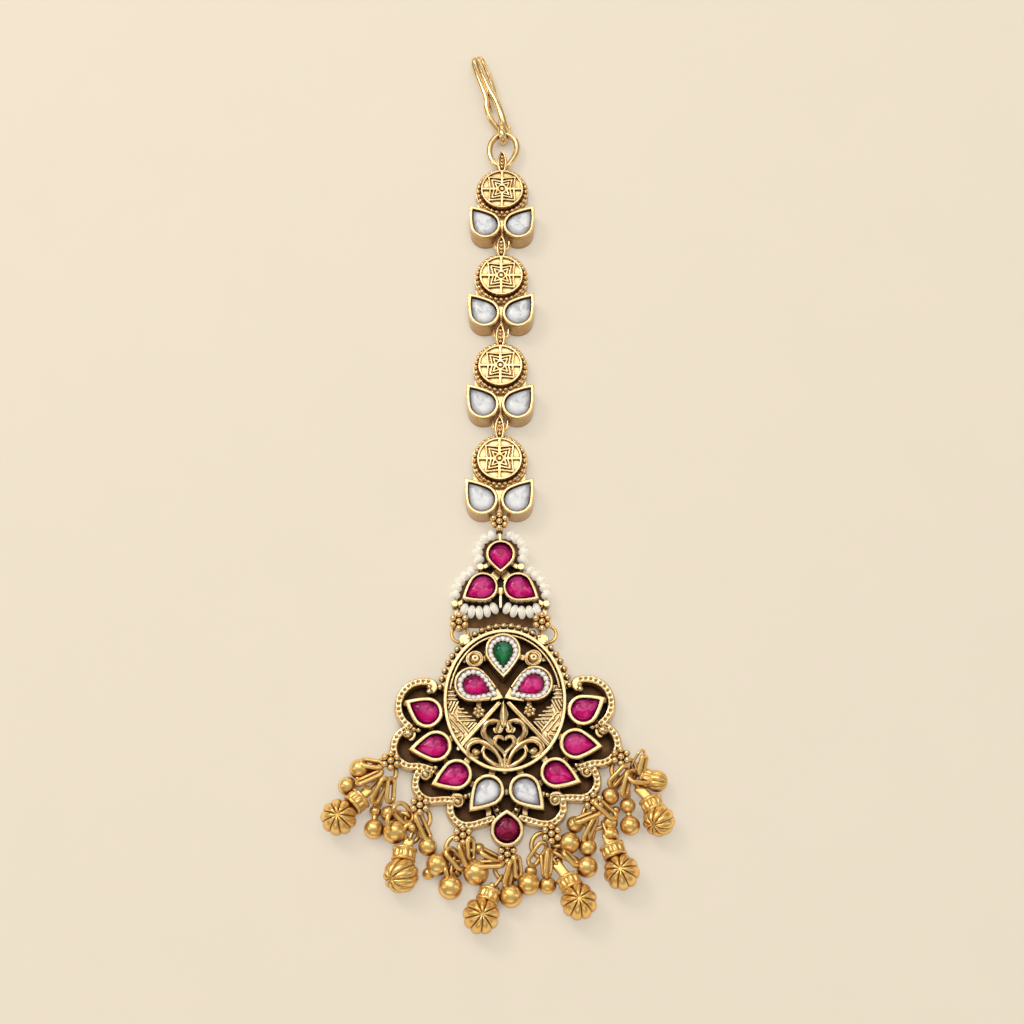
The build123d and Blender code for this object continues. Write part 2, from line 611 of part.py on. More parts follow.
# ------------------------------------------------------------------ trefoil connector
def make_connector():
    base = Plane(origin=(CONNECTOR_X, 0, 0))
    settings = [TREFOIL_TOP, TREFOIL_SIDE, mirrored(TREFOIL_SIDE)]
    hook_x = LINK_TOP[0] + 3 * LINK_DRIFT - CONNECTOR_X
    hook_y = LINK_TOP[1] - 3 * LINK_PITCH + LOOP_Y - LOOP_REACH
    with BuildPart() as connector:
        with BuildSketch(base):
            for bar in both_sides(TREFOIL_BARS, mirrored_bar):
                BarStroke(bar)
            BarStroke(PIN._replace(y2=20.1))
        extrude(amount=CONNECTOR_BASE)
        with BuildSketch(base):
            for post in TREFOIL_POSTS:
                with Locations((-post.x, post.y), (post.x, post.y)):
                    Circle(0.6)
            BarStroke(PIN)
        extrude(amount=CONNECTOR_POST)
        with BuildSketch(base.offset(WIRE_Z - 0.95)):
            BarStroke(Bar(0.0, 28.0, hook_x, hook_y - 1.0, 0.5))
        extrude(amount=1.9)
        add(bezel_walls(base, settings, CONNECTOR_HEIGHT))
        add(pear_hollows(base, settings, CONNECTOR_RIM, BEZEL_FLOOR), mode=Mode.SUBTRACT)
        # the bail that holds the last link's loop, with its flower
        centre = base.from_local_coords((hook_x, hook_y + 0.1, WIRE_Z))
        strap = 2 * BAIL_STRAP
        with BuildSketch(Plane(origin=centre, x_dir=(0, 1, 0), z_dir=(1, 0, 0))):
            RectangleRounded(HOOP_LENGTH, HOOP_HEIGHT, 1.1)
            RectangleRounded(HOOP_LENGTH - strap, HOOP_HEIGHT - strap, 0.6, mode=Mode.SUBTRACT)
        extrude(amount=0.6, both=True)
        with BuildSketch(base.offset(DISC_Z)):
            with Locations((hook_x, hook_y + 0.4)):
                Circle(FLOWER_BASE + 0.05)
        extrude(amount=DISC)
        add(flower_grains(base, hook_x, hook_y + 0.4, DISC_Z + DISC + 0.15))
        # the two flowers below, each pierced for its side ring
        flower_x, flower_y = CONNECTOR_FLOWER
        with BuildSketch(base):
            with Locations((-flower_x, flower_y), (flower_x, flower_y)):
                Circle(FLOWER_BASE)
        extrude(amount=FLOWER_HEIGHT)
        for x in (-flower_x, flower_x):
            add(flower_grains(base, x, flower_y, FLOWER_HEIGHT + 0.1))
        with Locations([side_ring_centre(-1), side_ring_centre(1)]):
            Torus(SIDE_RING, SIDE_RING_WIRE + GAP, mode=Mode.SUBTRACT)
        Box(FOOTPRINT, FOOTPRINT, 2 * SEAT, mode=Mode.SUBTRACT)
    save("connector", connector)
    with BuildPart() as plate:
        with BuildSketch(base):
            for row in STRINGS[:2]:
                with Locations((row.x, row.y), (-row.x, row.y)):
                    Circle(row.radius - 0.35)
            Polygon((-7.2, 13.6), (7.2, 13.6), (7.2, 18.0), (2, 27), (-2, 27), (-7.2, 18.0), align=None)
            with Locations((-CONNECTOR_X, 0)):
                Ellipse(LEDGE_X + 0.8, LEDGE_Y + 0.85, rotation=LEAN, mode=Mode.SUBTRACT)
        extrude(amount=BACK)
    save("connector_back", plate)
    for name, row in zip(("top", "right", "left"), settings):
        cut_stones(f"connector_stone_{name}", base, [fitted(row, CONNECTOR_RIM)], BEZEL_CUT)


def side_ring_centre(side):
    return Vector(-0.2 + side * 7.75, 12.0, SIDE_RING_Z)


def make_side_rings():
    for name, side in (("left", -1), ("right", 1)):
        with BuildPart() as ring:
            with Locations(side_ring_centre(side)):
                Torus(SIDE_RING, SIDE_RING_WIRE)
        save(f"side_ring_{name}", ring)


def make_pearls():
    base = Plane(origin=(CONNECTOR_X, 0, PEARL_Z))
    with BuildPart() as wires:
        for row in STRINGS:
            for side in (1, -1):
                start = row.start if side == 1 else 180 - row.end
                with BuildLine(base) as wire:
                    path = CenterArc((side * row.x, row.y), row.radius, start, row.end - row.start)
                with BuildSketch(Plane(origin=path @ 0, z_dir=path % 0)):
                    Circle(PEARL_WIRE)
                sweep(path=wire.line)
    save("pearl_wires", wires)
    with BuildPart() as pearls:
        for row in STRINGS:
            for side in (1, -1):
                for k in range(BEADS_ON_STRING):
                    turn = row.first + row.step * k
                    turn = turn if side == 1 else 180 - turn
                    place = base.from_local_coords((*on_circle(side * row.x, row.y, row.radius, turn), 0))
                    across = (cos(radians(turn)), sin(radians(turn)), 0)
                    spin = Plane(origin=place, x_dir=(-across[1], across[0], 0), z_dir=(0, 0, 1))
                    with BuildSketch(spin):
                        Ellipse(row.length / 2, row.width / 2)
                        with Locations((0, PEARL_HOLE - row.width)):
                            Rectangle(3 * row.length, 2 * row.width, mode=Mode.SUBTRACT)
                    revolve(axis=Axis(place, spin.x_dir))
    save("seed_pearls", pearls)


# ------------------------------------------------------------------ pendant
def fan_settings():
    return both_sides(FAN, mirrored) + [DROP_SETTING]


def halo_settings():
    return [HALO_TOP, HALO_SIDE, mirrored(HALO_SIDE)]


def halo_stone_rows():
    return [EMERALD, HALO_RUBY, mirrored(HALO_RUBY)]


def small_stone_places():
    """Middles of the small round stones, midway between each big stone and its halo's rim."""
    places = []
    for halo, stone in zip(halo_settings(), halo_stone_rows()):
        rim_radius, rim_reach = inset(halo, HALO_RIM)
        x = (halo.x + stone.x) / 2
        y = (halo.y + stone.y) / 2
        radius = (rim_radius + stone.radius) / 2
        reach = (rim_reach + stone.reach) / 2
        places += pear_points(radius, reach, 18, x, y, halo.turn)
    return places


def oval_struts():
    """Low bars from each fan bezel to the oval, and from bezel to bezel."""
    bars = []
    for row in FAN:
        scale = 0.98 / sqrt((row.x / OVAL_X) ** 2 + (row.y / OVAL_Y) ** 2)
        bars.append(Bar(row.x, row.y, row.x * scale, row.y * scale, 1.1))
    for row, after in zip(FAN[:-1], FAN[1:]):
        bars.append(Bar(row.x, row.y, after.x, after.y, 1.0))
    clear = FAN[-1]
    bars.append(Bar(clear.x, clear.y, 0.0, clear.y, 1.0))
    bars.append(Bar(clear.x, clear.y, DROP_SETTING.x, DROP_SETTING.y, 1.0))
    return both_sides(bars + STRUTS, mirrored_bar)


def curl_arcs(curl):
    """A curl's big arc and the small arc that its head turns into."""
    x, y = on_circle(curl.x, curl.y, curl.radius - CURL_END, curl.start)
    big = Arc(curl.x, curl.y, curl.radius, curl.start, curl.end, CURL_WIDTH)
    head = Arc(x, y, CURL_END, curl.start - 165, curl.start, CURL_WIDTH * 0.85)
    return [big, head]


def curl_tail(curl):
    x, y = on_circle(curl.x, curl.y, curl.radius, curl.end)
    return Bar(x, y, curl.tail_x, curl.tail_y, CURL_WIDTH)


def hatch_bars(hatch):
    bars = []
    for k in range(1, hatch.rows + 1):
        share = k / hatch.rows
        x1 = hatch.tip_x + (hatch.a_x - hatch.tip_x) * share
        y1 = hatch.tip_y + (hatch.a_y - hatch.tip_y) * share
        x2 = hatch.tip_x + (hatch.b_x - hatch.tip_x) * share
        y2 = hatch.tip_y + (hatch.b_y - hatch.tip_y) * share
        bars.append(Bar(x1, y1, x2, y2, HATCH))
    return bars


def accent_places():
    """Grains beside the bezels, and one in the head of each curl."""
    places = [(grain.x, grain.y) for grain in ACCENTS]
    for curl in CURLS:
        places.append(on_circle(curl.x, curl.y, curl.radius - CURL_END, curl.start))
    return places + [(-x, y) for x, y in places]


def dimple_places():
    """Evenly spaced dots along each curl's big arc."""
    places = []
    for curl in CURLS:
        count = round((curl.end - curl.start) * radians(curl.radius) / DIMPLE_PITCH)
        for k in range(1, count):
            turn = curl.start + (curl.end - curl.start) * k / count
            x, y = on_circle(curl.x, curl.y, curl.radius, turn)
            if min(hypot(group.x - x, group.y - y) for group in GROUPS) > 1.8:
                places.append((x, y))
    return places + [(-x, y) for x, y in places]


def border_places():
    turns = [11 + 158 * k / (BORDER_GRAINS - 1) for k in range(BORDER_GRAINS)]
    return [((OVAL_X + 0.85) * cos(radians(t)), (OVAL_Y + 0.9) * sin(radians(t))) for t in turns]


def flower_grain_places():
    places = []
    for group in GROUPS:
        places += flower_points(group.x, group.y, FLOWER_SPREAD)
    return places


def make_pendant():
    upper_half = Location((0, 10 + BAND_FOOT))
    with BuildPart() as frame:
        # low struts, then the ledge under the border grains
        with BuildSketch(PENDANT):
            for bar in oval_struts():
                BarStroke(bar)
        extrude(amount=STRUT_HEIGHT)
        with BuildSketch(PENDANT):
            Ellipse(LEDGE_X, LEDGE_Y)
            Ellipse(OVAL_X - SOLDER, OVAL_Y - SOLDER, mode=Mode.SUBTRACT)
            with Locations(upper_half):
                Rectangle(3 * LEDGE_X, 20, mode=Mode.INTERSECT)
        extrude(amount=LEDGE_HEIGHT)
        # the oval: rim, laddered band and hatched crescents
        with BuildSketch(PENDANT):
            Ellipse(OVAL_X, OVAL_Y)
            Ellipse(OVAL_X - OVAL_RIM, OVAL_Y - OVAL_RIM, mode=Mode.SUBTRACT)
        extrude(amount=RIM_HEIGHT)
        with BuildSketch(PENDANT):
            Ellipse(OVAL_X - SOLDER, OVAL_Y - SOLDER)
            Ellipse(BAND_X, BAND_Y, mode=Mode.SUBTRACT)
            with Locations(upper_half):
                Rectangle(3 * OVAL_X, 20, mode=Mode.INTERSECT)
        extrude(amount=PLATE_HEIGHT)
        with BuildSketch(PENDANT):
            Ellipse(BAND_X + 0.3, BAND_Y + 0.3)
            Ellipse(BAND_X, BAND_Y, mode=Mode.SUBTRACT)
            with Locations(upper_half):
                Rectangle(3 * OVAL_X, 20, mode=Mode.INTERSECT)
        extrude(amount=SCROLL_HEIGHT)
        with BuildSketch(PENDANT):
            with BuildLine():
                Line((-12, 2.4), (-8.75, 2.4))
                ThreePointArc((-8.75, 2.4), (-7.9, -1.0), (-4.75, -3.85))
                Polyline((-4.75, -3.85), (-7.9, -8.4), (-12, -8.4), (-12, 2.4))
            make_face()
            mirror(about=Plane.YZ)
            Ellipse(OVAL_X - SOLDER, OVAL_Y - SOLDER, mode=Mode.INTERSECT)
        extrude(amount=PLATE_HEIGHT)
        with BuildSketch(PENDANT.offset(PLATE_HEIGHT - RELIEF_SUNK)):
            for hatch in HATCHES:
                for bar in hatch_bars(hatch):
                    BarStroke(bar)
                    BarStroke(mirrored_bar(bar))
            for k in range(-12, 13):
                turn = LADDER_PITCH * k
                with Locations((10.0 * sin(radians(turn)), 11.95 * cos(radians(turn)))):
                    Rectangle(HATCH, 0.75, rotation=-turn)
            Ellipse(OVAL_X - SOLDER, OVAL_Y - SOLDER, mode=Mode.INTERSECT)
        extrude(amount=RELIEF_SUNK + HATCH)
        # scrollwork
        with BuildSketch(MOTIF):
            for arc in both_sides(SCROLL_ARCS, mirrored_arc):
                ArcStroke(arc)
            for bar in both_sides(SCROLL_BARS, mirrored_bar):
                BarStroke(bar)
        extrude(amount=SCROLL_HEIGHT)
        with BuildSketch(MOTIF):
            right = [(w, -y) for w, y in zip(KEEL_WIDTHS, KEEL_LENGTHS)]
            left = [(-x, y) for x, y in reversed(right)]
            Polygon(*right, *left, align=None)
        extrude(amount=SCROLL_HEIGHT)
        with BuildSketch(MOTIF):
            with Locations((-5.1, 7.3), (5.1, 7.3)):
                Circle(BOSS)
        extrude(amount=PLATE_HEIGHT)
        with BuildSketch(MOTIF.offset(PLATE_HEIGHT - RELIEF_SUNK)):
            with Locations((-5.1, 7.3), (5.1, 7.3)):
                Circle(BOSS)
                Circle(BOSS - 0.5, mode=Mode.SUBTRACT)
                Circle(0.4)
        extrude(amount=SCROLL_HEIGHT - PLATE_HEIGHT + RELIEF_SUNK)
        # halo settings
        add(bezel_walls(MOTIF, halo_settings(), HALO_HEIGHT))
        add(pear_hollows(MOTIF, halo_settings(), HALO_RIM, HALO_FLOOR), mode=Mode.SUBTRACT)
        add(pear_hollows(MOTIF, halo_stone_rows(), 0, HALO_SEAT), mode=Mode.SUBTRACT)
        with BuildSketch(MOTIF.offset(HALO_FLOOR - 0.3)):
            with Locations(small_stone_places()):
                Circle(SMALL_STONE + STONE_GAP)
        extrude(amount=HALO_HEIGHT, mode=Mode.SUBTRACT)
        # the fan's bezels and curls
        add(bezel_walls(PENDANT, fan_settings(), FAN_HEIGHT))
        add(pear_hollows(PENDANT, fan_settings(), FAN_RIM, BEZEL_FLOOR), mode=Mode.SUBTRACT)
        with BuildSketch(PENDANT):
            for curl in CURLS:
                for arc in curl_arcs(curl):
                    ArcStroke(arc)
                    ArcStroke(mirrored_arc(arc))
                BarStroke(curl_tail(curl))
                BarStroke(mirrored_bar(curl_tail(curl)))
        extrude(amount=CURL_HEIGHT)
        with BuildSketch(PENDANT.offset(CURL_HEIGHT - DIMPLE_DEPTH)):
            with Locations(dimple_places()):
                Circle(DIMPLE)
        extrude(amount=2 * DIMPLE_DEPTH, mode=Mode.SUBTRACT)
        # flower bases, pierced for the bell rings
        with BuildSketch(PENDANT):
            for group in GROUPS:
                with Locations((group.x, group.y)):
                    Circle(FLOWER_BASE)
        extrude(amount=FLOWER_HEIGHT)
        with BuildSketch(Plane.XY):
            for side in (-1, 1):
                centre = side_ring_centre(side)
                with Locations(on_circle(centre.X, centre.Y, SIDE_RING, -90 - 38 * side)):
                    Circle(0.95)
        extrude(amount=FLOWER_HEIGHT)
        # grains, each on a post where it stands off the plates
        with BuildSketch(PENDANT):
            with Locations(accent_places()):
                Circle(0.4)
        extrude(amount=CURL_HEIGHT)
        with Locations([world(*place, CURL_HEIGHT) for place in accent_places()]):
            Sphere(0.5)
        with Locations([world(*place, LEDGE_HEIGHT + 0.2) for place in border_places()]):
            Sphere(BORDER_GRAIN)
        with Locations([world(*place, FLOWER_HEIGHT + 0.1) for place in flower_grain_places()]):
            Sphere(FLOWER_GRAIN)
        for ball in SCROLL_BALLS:
            with Locations([MOTIF.from_local_coords((x, ball.y, ball.z)) for x in (-ball.x, ball.x)]):
                Sphere(ball.radius)
        # running room for the jump rings, and for the plate underneath
        with Locations([ring_centre(group) for group in GROUPS]):
            Torus(BELL_RING, BELL_RING_WIRE + GAP, mode=Mode.SUBTRACT)
        with Locations([side_ring_centre(-1), side_ring_centre(1)]):
            Torus(SIDE_RING, SIDE_RING_WIRE + GAP, mode=Mode.SUBTRACT)
        Box(FOOTPRINT, FOOTPRINT, 2 * SEAT, mode=Mode.SUBTRACT)
    save("pendant_frame", frame)


def make_pendant_back():
    """The dark plate that closes the pendant's openings from behind."""
    corners = [(curl.x, curl.y) for curl in CURLS] + [(CURLS[-1].tail_x, CURLS[-1].tail_y)]
    with BuildPart() as plate:
        with BuildSketch(PENDANT):
            Ellipse(OVAL_X - 0.1, OVAL_Y - 0.1)
            Polygon(*corners, *[(-x, y) for x, y in reversed(corners)], align=None)
            for curl in CURLS:
                with Locations((curl.x, curl.y), (-curl.x, curl.y)):
                    Circle(curl.radius + 0.1)
        extrude(amount=BACK)
    save("pendant_back", plate)


def make_pendant_stones():
    for row in both_sides(FAN, mirrored):
        side = "right" if row.x > 0 else "left"
        cut_stones(f"{row.name}_{side}", PENDANT, [fitted(row, FAN_RIM)], BEZEL_CUT)
    cut_stones("drop_ruby", PENDANT, [fitted(DROP_SETTING, FAN_RIM)], BEZEL_CUT)
    for name, row in zip(("emerald", "halo_ruby_right", "halo_ruby_left"), halo_stone_rows()):
        stone = row._replace(radius=row.radius - STONE_GAP, reach=row.reach - 2 * STONE_GAP)
        cut_stones(name, MOTIF, [stone], HALO_CUT)
    with BuildPart() as gem:
        for height, table in ((0.3, 0.22), (-0.25, 0.12)):
            with BuildSketch():
                RegularPolygon(SMALL_STONE, 8)
            with BuildSketch(Plane.XY.offset(height)):
                RegularPolygon(table, 8)
            loft()
    with BuildPart() as small:
        for place in small_stone_places():
            with Locations(MOTIF.from_local_coords((*place, HALO_FLOOR + 0.05))):
                add(gem.part)
    save("halo_stones", small)


# ------------------------------------------------------------------ bells and drops
def loop_plane(group, turn, x, y, z):
    """The upright plane of a drop's wire loop: X from the ring's wire to the drop."""
    centre = ring_centre(group)
    start = Vector(*on_circle(centre.X, centre.Y, BELL_RING, turn), BELL_RING_Z)
    along = Vector(x, y, z) - start
    side = Vector(along.Y, -along.X, 0)
    return Plane(origin=start, x_dir=along, z_dir=side), along.length


def find_group(name):
    return next(group for group in GROUPS if group.name == name)


def make_bell_rings():
    for group in GROUPS:
        with BuildPart() as ring:
            with Locations(ring_centre(group)):
                Torus(BELL_RING, BELL_RING_WIRE)
        save(f"bell_ring_{group.name}", ring)
    # an oval ring stands askew in the last jump ring
    centre = ring_centre(find_group("right_outer"))
    start = Vector(*on_circle(centre.X, centre.Y, BELL_RING, 28), BELL_RING_Z)
    turn = radians(OVAL_RING_TURN)
    askew = Plane(origin=start, x_dir=(cos(turn), sin(turn), 0.25), z_dir=(sin(turn), -cos(turn), 0.5))
    with BuildPart() as oval:
        add(wire_loop(askew, OVAL_RING, OVAL_RING_STRAIGHT, DROP_WIRE))
    save("oval_ring", oval)


def make_drops():
    for group in GROUPS:
        with BuildPart() as drops:
            for row in DROPS:
                if row.group != group.name:
                    continue
                ball = Vector(row.x, row.y, max(row.radius, DROP_HEIGHT) + REST)
                plane, length = loop_plane(group, row.turn, *ball)
                straight = max(length - 0.55 * row.radius, 0.4)
                add(wire_loop(plane, DROP_LOOP, straight, DROP_WIRE))
                with Locations(ball):
                    Sphere(row.radius)
                if not row.radius2:
                    continue
                second = Vector(row.x2, row.y2, row.radius2 + REST)
                apart = (second - ball).length
                if apart > row.radius + row.radius2:
                    with BuildSketch(Plane(origin=ball, z_dir=second - ball)):
                        Circle(2 * DROP_WIRE)
                    extrude(amount=apart)
                with Locations(second):
                    Sphere(row.radius2, rotation=(0, 0, 180))
        save(f"drops_{group.name}", drops)


def lobed(count, radius, depth):
    """Corners of a lobed outline, alternately on the lobes and in the grooves."""
    corners = []
    for k in range(2 * count):
        reach = radius if k % 2 == 0 else radius - depth
        corners.append(on_circle(0, 0, reach, 180 * k / count))
    return corners


def make_bell(row):
    group = find_group(row.group)
    ring = ring_centre(group)
    start = Vector(*on_circle(ring.X, ring.Y, BELL_RING, row.turn), BELL_RING_Z)
    melon = Vector(row.x, row.y, row.radius + REST)
    # the cap hangs on the line from the ring to the melon, and clear of the floor
    share = hypot(row.cap_x - start.X, row.cap_y - start.Y) / hypot(row.x - start.X, row.y - start.Y)
    cap_z = max(BELL_RING_Z + (melon.Z - BELL_RING_Z) * min(share, 1), row.cap_radius + 0.1)
    cap = Vector(row.cap_x, row.cap_y, cap_z)
    axis = (melon - cap).normalized()
    plane, length = loop_plane(group, row.turn, *cap)
    strap = Plane(origin=plane.origin + plane.x_dir * BELL_STRAP, x_dir=plane.z_dir, z_dir=plane.x_dir)
    with BuildPart() as bell:
        add(wire_loop(plane, DROP_LOOP, BELL_LOOP, DROP_WIRE))
        with BuildSketch(strap):
            RectangleRounded(1.2, 0.9, 0.3)
        extrude(amount=length - BELL_STRAP - 0.15)
        if row.name == "bell_right_middle":
            with Locations((KNOB.x, KNOB.y, KNOB.z)):
                Sphere(KNOB.radius)
        with BuildSketch(Plane(origin=cap - axis * CAP_LENGTH / 2, z_dir=axis)):
            Polygon(*lobed(CAP_FLUTES, row.cap_radius, FLUTE), align=None)
        extrude(amount=CAP_LENGTH)
        with BuildSketch(Plane(origin=cap, z_dir=axis)):
            Circle(row.cap_radius * 0.6)
        extrude(amount=(melon - cap).length - 0.4)
        rise = sqrt(1 - row.pole_x**2 - row.pole_y**2)
        upright = Plane(origin=melon, z_dir=(row.pole_x, row.pole_y, rise))
        for level in MELON_LEVELS:
            spread = row.radius * sqrt(1 - level**2)
            with BuildSketch(upright.offset(level * row.radius)):
                Polygon(*lobed(MELON_LOBES, spread, spread * MELON_GROOVE), align=None)
        loft(ruled=True)
    save(row.name, bell)


# ------------------------------------------------------------------ build
os.makedirs("parts", exist_ok=True)
make_hook()
make_top_ring()
for link_number in (1, 2, 3, 4):
    make_link(link_number)
make_connector()
make_side_rings()
make_pearls()
make_pendant()
make_pendant_back()
make_pendant_stones()
make_bell_rings()
make_drops()
for bell_row in BELLS:
    make_bell(bell_row)
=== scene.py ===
import random
from collections import namedtuple
from math import acos, atan2, copysign, cos, dist, exp, hypot, pi, radians, sin, sqrt

import bmesh
import bpy
from mathutils import Matrix, Vector


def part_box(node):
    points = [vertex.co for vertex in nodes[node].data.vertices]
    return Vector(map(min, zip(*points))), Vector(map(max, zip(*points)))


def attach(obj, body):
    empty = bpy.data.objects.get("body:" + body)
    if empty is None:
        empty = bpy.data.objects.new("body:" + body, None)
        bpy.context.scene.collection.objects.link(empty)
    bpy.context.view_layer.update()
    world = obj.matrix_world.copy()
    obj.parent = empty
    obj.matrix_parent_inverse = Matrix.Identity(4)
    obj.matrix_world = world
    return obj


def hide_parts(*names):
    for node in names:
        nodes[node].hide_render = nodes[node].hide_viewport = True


# The looks of a maang tikka that lies face up: cast antique gold with foil-backed stones, bright bells
# and seed pearls. Places are in millimetres in the frame of the CAD, and MM turns them into metres.
MM = 0.001
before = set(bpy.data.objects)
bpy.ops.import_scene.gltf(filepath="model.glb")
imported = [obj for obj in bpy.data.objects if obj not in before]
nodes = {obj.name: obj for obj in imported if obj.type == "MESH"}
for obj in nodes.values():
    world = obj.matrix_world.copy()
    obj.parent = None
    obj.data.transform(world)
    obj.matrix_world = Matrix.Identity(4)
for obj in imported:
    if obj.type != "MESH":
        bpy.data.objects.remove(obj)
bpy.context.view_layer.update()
scene = bpy.context.scene

# ---------- sizes shared with the CAD
LEAN = 1.0  # degrees that the pendant turns about the origin
LINK_TOP = (-0.7, 99.8)
LINK_STEP = (-0.115, -18.47)
CONNECTOR_X = -0.8


# ---------- node helpers
class Shader:
    """A material's node tree with short calls for the nodes used here."""

    def __init__(self, name):
        self.material = bpy.data.materials.new(name)
        self.material.use_nodes = True
        self.tree = self.material.node_tree
        self.tree.nodes.clear()
        self.surface = self.node("ShaderNodeBsdfPrincipled")
        self.node("ShaderNodeOutputMaterial", {"Surface": (self.surface, "BSDF")})

    def node(self, kind, sockets=None, **settings):
        """A new node; sockets gives what goes into its inputs, by their names or numbers."""
        made = self.tree.nodes.new(kind)
        for key, value in settings.items():
            setattr(made, key, value)
        self.feed(made, sockets or {})
        return made

    def feed(self, target, sockets):
        """Links each socket to a (node, output) pair, or sets it to a constant."""
        for socket, value in sockets.items():
            if isinstance(value, tuple) and isinstance(value[0], bpy.types.Node):
                self.tree.links.new(value[0].outputs[value[1]], target.inputs[socket])
            else:
                target.inputs[socket].default_value = value

    def noise(self, scale, detail=3.0):
        place = self.node("ShaderNodeTexCoord"), "Object"
        sockets = {"Vector": place, "Scale": scale, "Detail": detail, "Roughness": 0.55}
        return self.node("ShaderNodeTexNoise", sockets), "Fac"

    def span(self, value, low, high, start=0.0, end=1.0):
        sockets = {"Value": value, "From Min": low, "From Max": high, "To Min": start, "To Max": end}
        return self.node("ShaderNodeMapRange", sockets), "Result"

    def uneven(self, scale, low, high):
        """A value that wanders between two limits over the surface."""
        return self.span(self.noise(scale), 0.2, 0.8, low, high)

    def maths(self, operation, first, second):
        return self.node("ShaderNodeMath", {0: first, 1: second}, operation=operation), "Value"

    def mix(self, share, first, second):
        return self.node("ShaderNodeMix", {"Factor": share, 6: first, 7: second}, data_type="RGBA"), 2

    def attribute(self, name):
        return self.node("ShaderNodeAttribute", attribute_name=name), "Fac"

    def rounded(self, radius):
        """The surface's normal, rounded at edges as casting and polishing do."""
        return self.node("ShaderNodeBevel", {"Radius": radius}, samples=6), "Normal"

    def facing_up(self, radius):
        """How far the surface, with its edges rounded, faces the sky: 1 up and 0 level."""
        return self.node("ShaderNodeSeparateXYZ", {"Vector": self.rounded(radius)}), "Z"

    def cavity(self, reach):
        """1 in the open and 0 deep in a crevice."""
        settings = {"samples": 6, "only_local": False}
        return self.node("ShaderNodeAmbientOcclusion", {"Distance": reach}, **settings), "AO"

    def relief(self, edge, bump, strength, depth):
        """Rounded edges with a bump on top."""
        sockets = {"Strength": strength, "Distance": depth, "Height": bump, "Normal": self.rounded(edge)}
        self.feed(self.surface, {"Normal": (self.node("ShaderNodeBump", sockets), "Normal")})

    def paint(self, colour, glow, sockets):
        """The surface's colour, how much of it glows by itself as painted light, and its other sockets."""
        self.feed(self.surface, {"Base Color": colour, "Emission Color": colour, "Emission Strength": glow})
        self.feed(self.surface, sockets)


def rgb(red, green, blue):
    """A colour given as it shows on a screen, 0 to 255, in the linear values that nodes use."""
    linear = []
    for value in (red, green, blue):
        share = value / 255
        linear.append(share / 12.92 if share <= 0.04045 else ((share + 0.055) / 1.055) ** 2.4)
    return (*linear, 1.0)


# ---------- materials
Look = namedtuple("Look", "material slot")
# scales of the metal's noise, from blotches of its two colours to wear along its edges
BLOTCH, PITS, POLISH, WEAR = 900.0, 1500.0, 1700.0, 2600.0
PIT_DEPTH = 0.00003
FLOOR_GLOW = 0.63


def cast_gold(name, slot, colours, rough, edge, crevice, sides, pits=0.12, glow=0.0, metallic=1.0):
    """Plated casting: lighter where it faces up and browner on its sides as painted light and shade, and
    dark in its crevices as patina and painted shade.
    """
    bright, warm, dark = (rgb(*colour) for colour in colours)
    look = Shader(name)
    metal = look.mix(look.span(look.noise(BLOTCH), 0.35, 0.7), bright, warm)
    # dark in crevices: partly the casting's patina, partly painted shade
    open_air = look.span(look.cavity(crevice), 0.3, 0.9)
    # painted light where the surface faces up and painted shade on its sides, times the crevices' patina
    # and painted shade
    painted_shade_and_patina = look.maths("MULTIPLY", open_air, look.span(look.facing_up(edge), *sides))
    painted_shade_patina_and_wear = look.maths("ADD", painted_shade_and_patina, look.span(look.noise(WEAR), 0.0, 1.0, -0.08, 0.08))
    shown = look.mix(look.span(painted_shade_patina_and_wear, 0.05, 0.8), dark, metal)
    # glow is painted light: the gold glows a little by itself
    look.paint(shown, glow, {"Metallic": metallic, "Roughness": look.uneven(POLISH, rough, rough + 0.14)})
    look.relief(edge, look.noise(PITS, 4.0), pits, PIT_DEPTH)
    return Look(look.material, slot)


def make_stone(name, slot, colours, sparkle, painted_foil_glow):
    """Foil-backed glass: painted light makes it glow low down with core above it, painted shade darkens it
    at the bezel, and its facets are painted lighter or darker as painted reflections.
    """
    core, glow, edge, light = (rgb(*colour) for colour in colours)
    look = Shader(name)
    cloud = look.span(look.noise(700.0, 2.0), 0.3, 0.7)
    # painted light: the stone is lighter towards its lower end
    body = look.mix(look.span(look.attribute("fall"), 0.25, 0.75), core, glow)
    body = look.mix(look.maths("MULTIPLY", cloud, 0.3), body, glow)
    # painted reflections: each facet is painted lighter or darker
    tone = look.attribute("tone")
    body = look.mix(look.span(tone, 0.5, 1.0, 0.0, sparkle), body, light)
    body = look.mix(look.span(tone, 0.5, 0.0, 0.0, sparkle), body, edge)
    # painted shade where the bezel meets the stone
    shown = look.mix(look.attribute("rim"), body, edge)
    # the stone glows a little by itself: painted light
    look.paint(shown, painted_foil_glow, {
        "Roughness": look.uneven(1500.0, 0.05, 0.1), "IOR": 1.33,
        "Coat Weight": 0.05, "Coat Roughness": 0.02,
    })
    look.relief(0.00015, look.noise(500.0, 1.0), 0.12, 0.00006)
    return Look(look.material, slot)


def make_pearl():
    look = Shader("pearl")
    shown = look.mix(look.span(look.noise(1200.0), 0.3, 0.75), rgb(250, 248, 238), rgb(238, 230, 214))
    # the pearl glows a little by itself: painted light
    look.paint(shown, 0.3, {
        "Roughness": look.uneven(2400.0, 0.22, 0.36), "Subsurface Weight": 0.25,
        "Subsurface Radius": (0.0004, 0.0004, 0.0004), "Coat Weight": 0.3,
    })
    look.relief(0.00008, look.noise(1900.0), 0.15, 0.00003)
    return Look(look.material, "pearl")


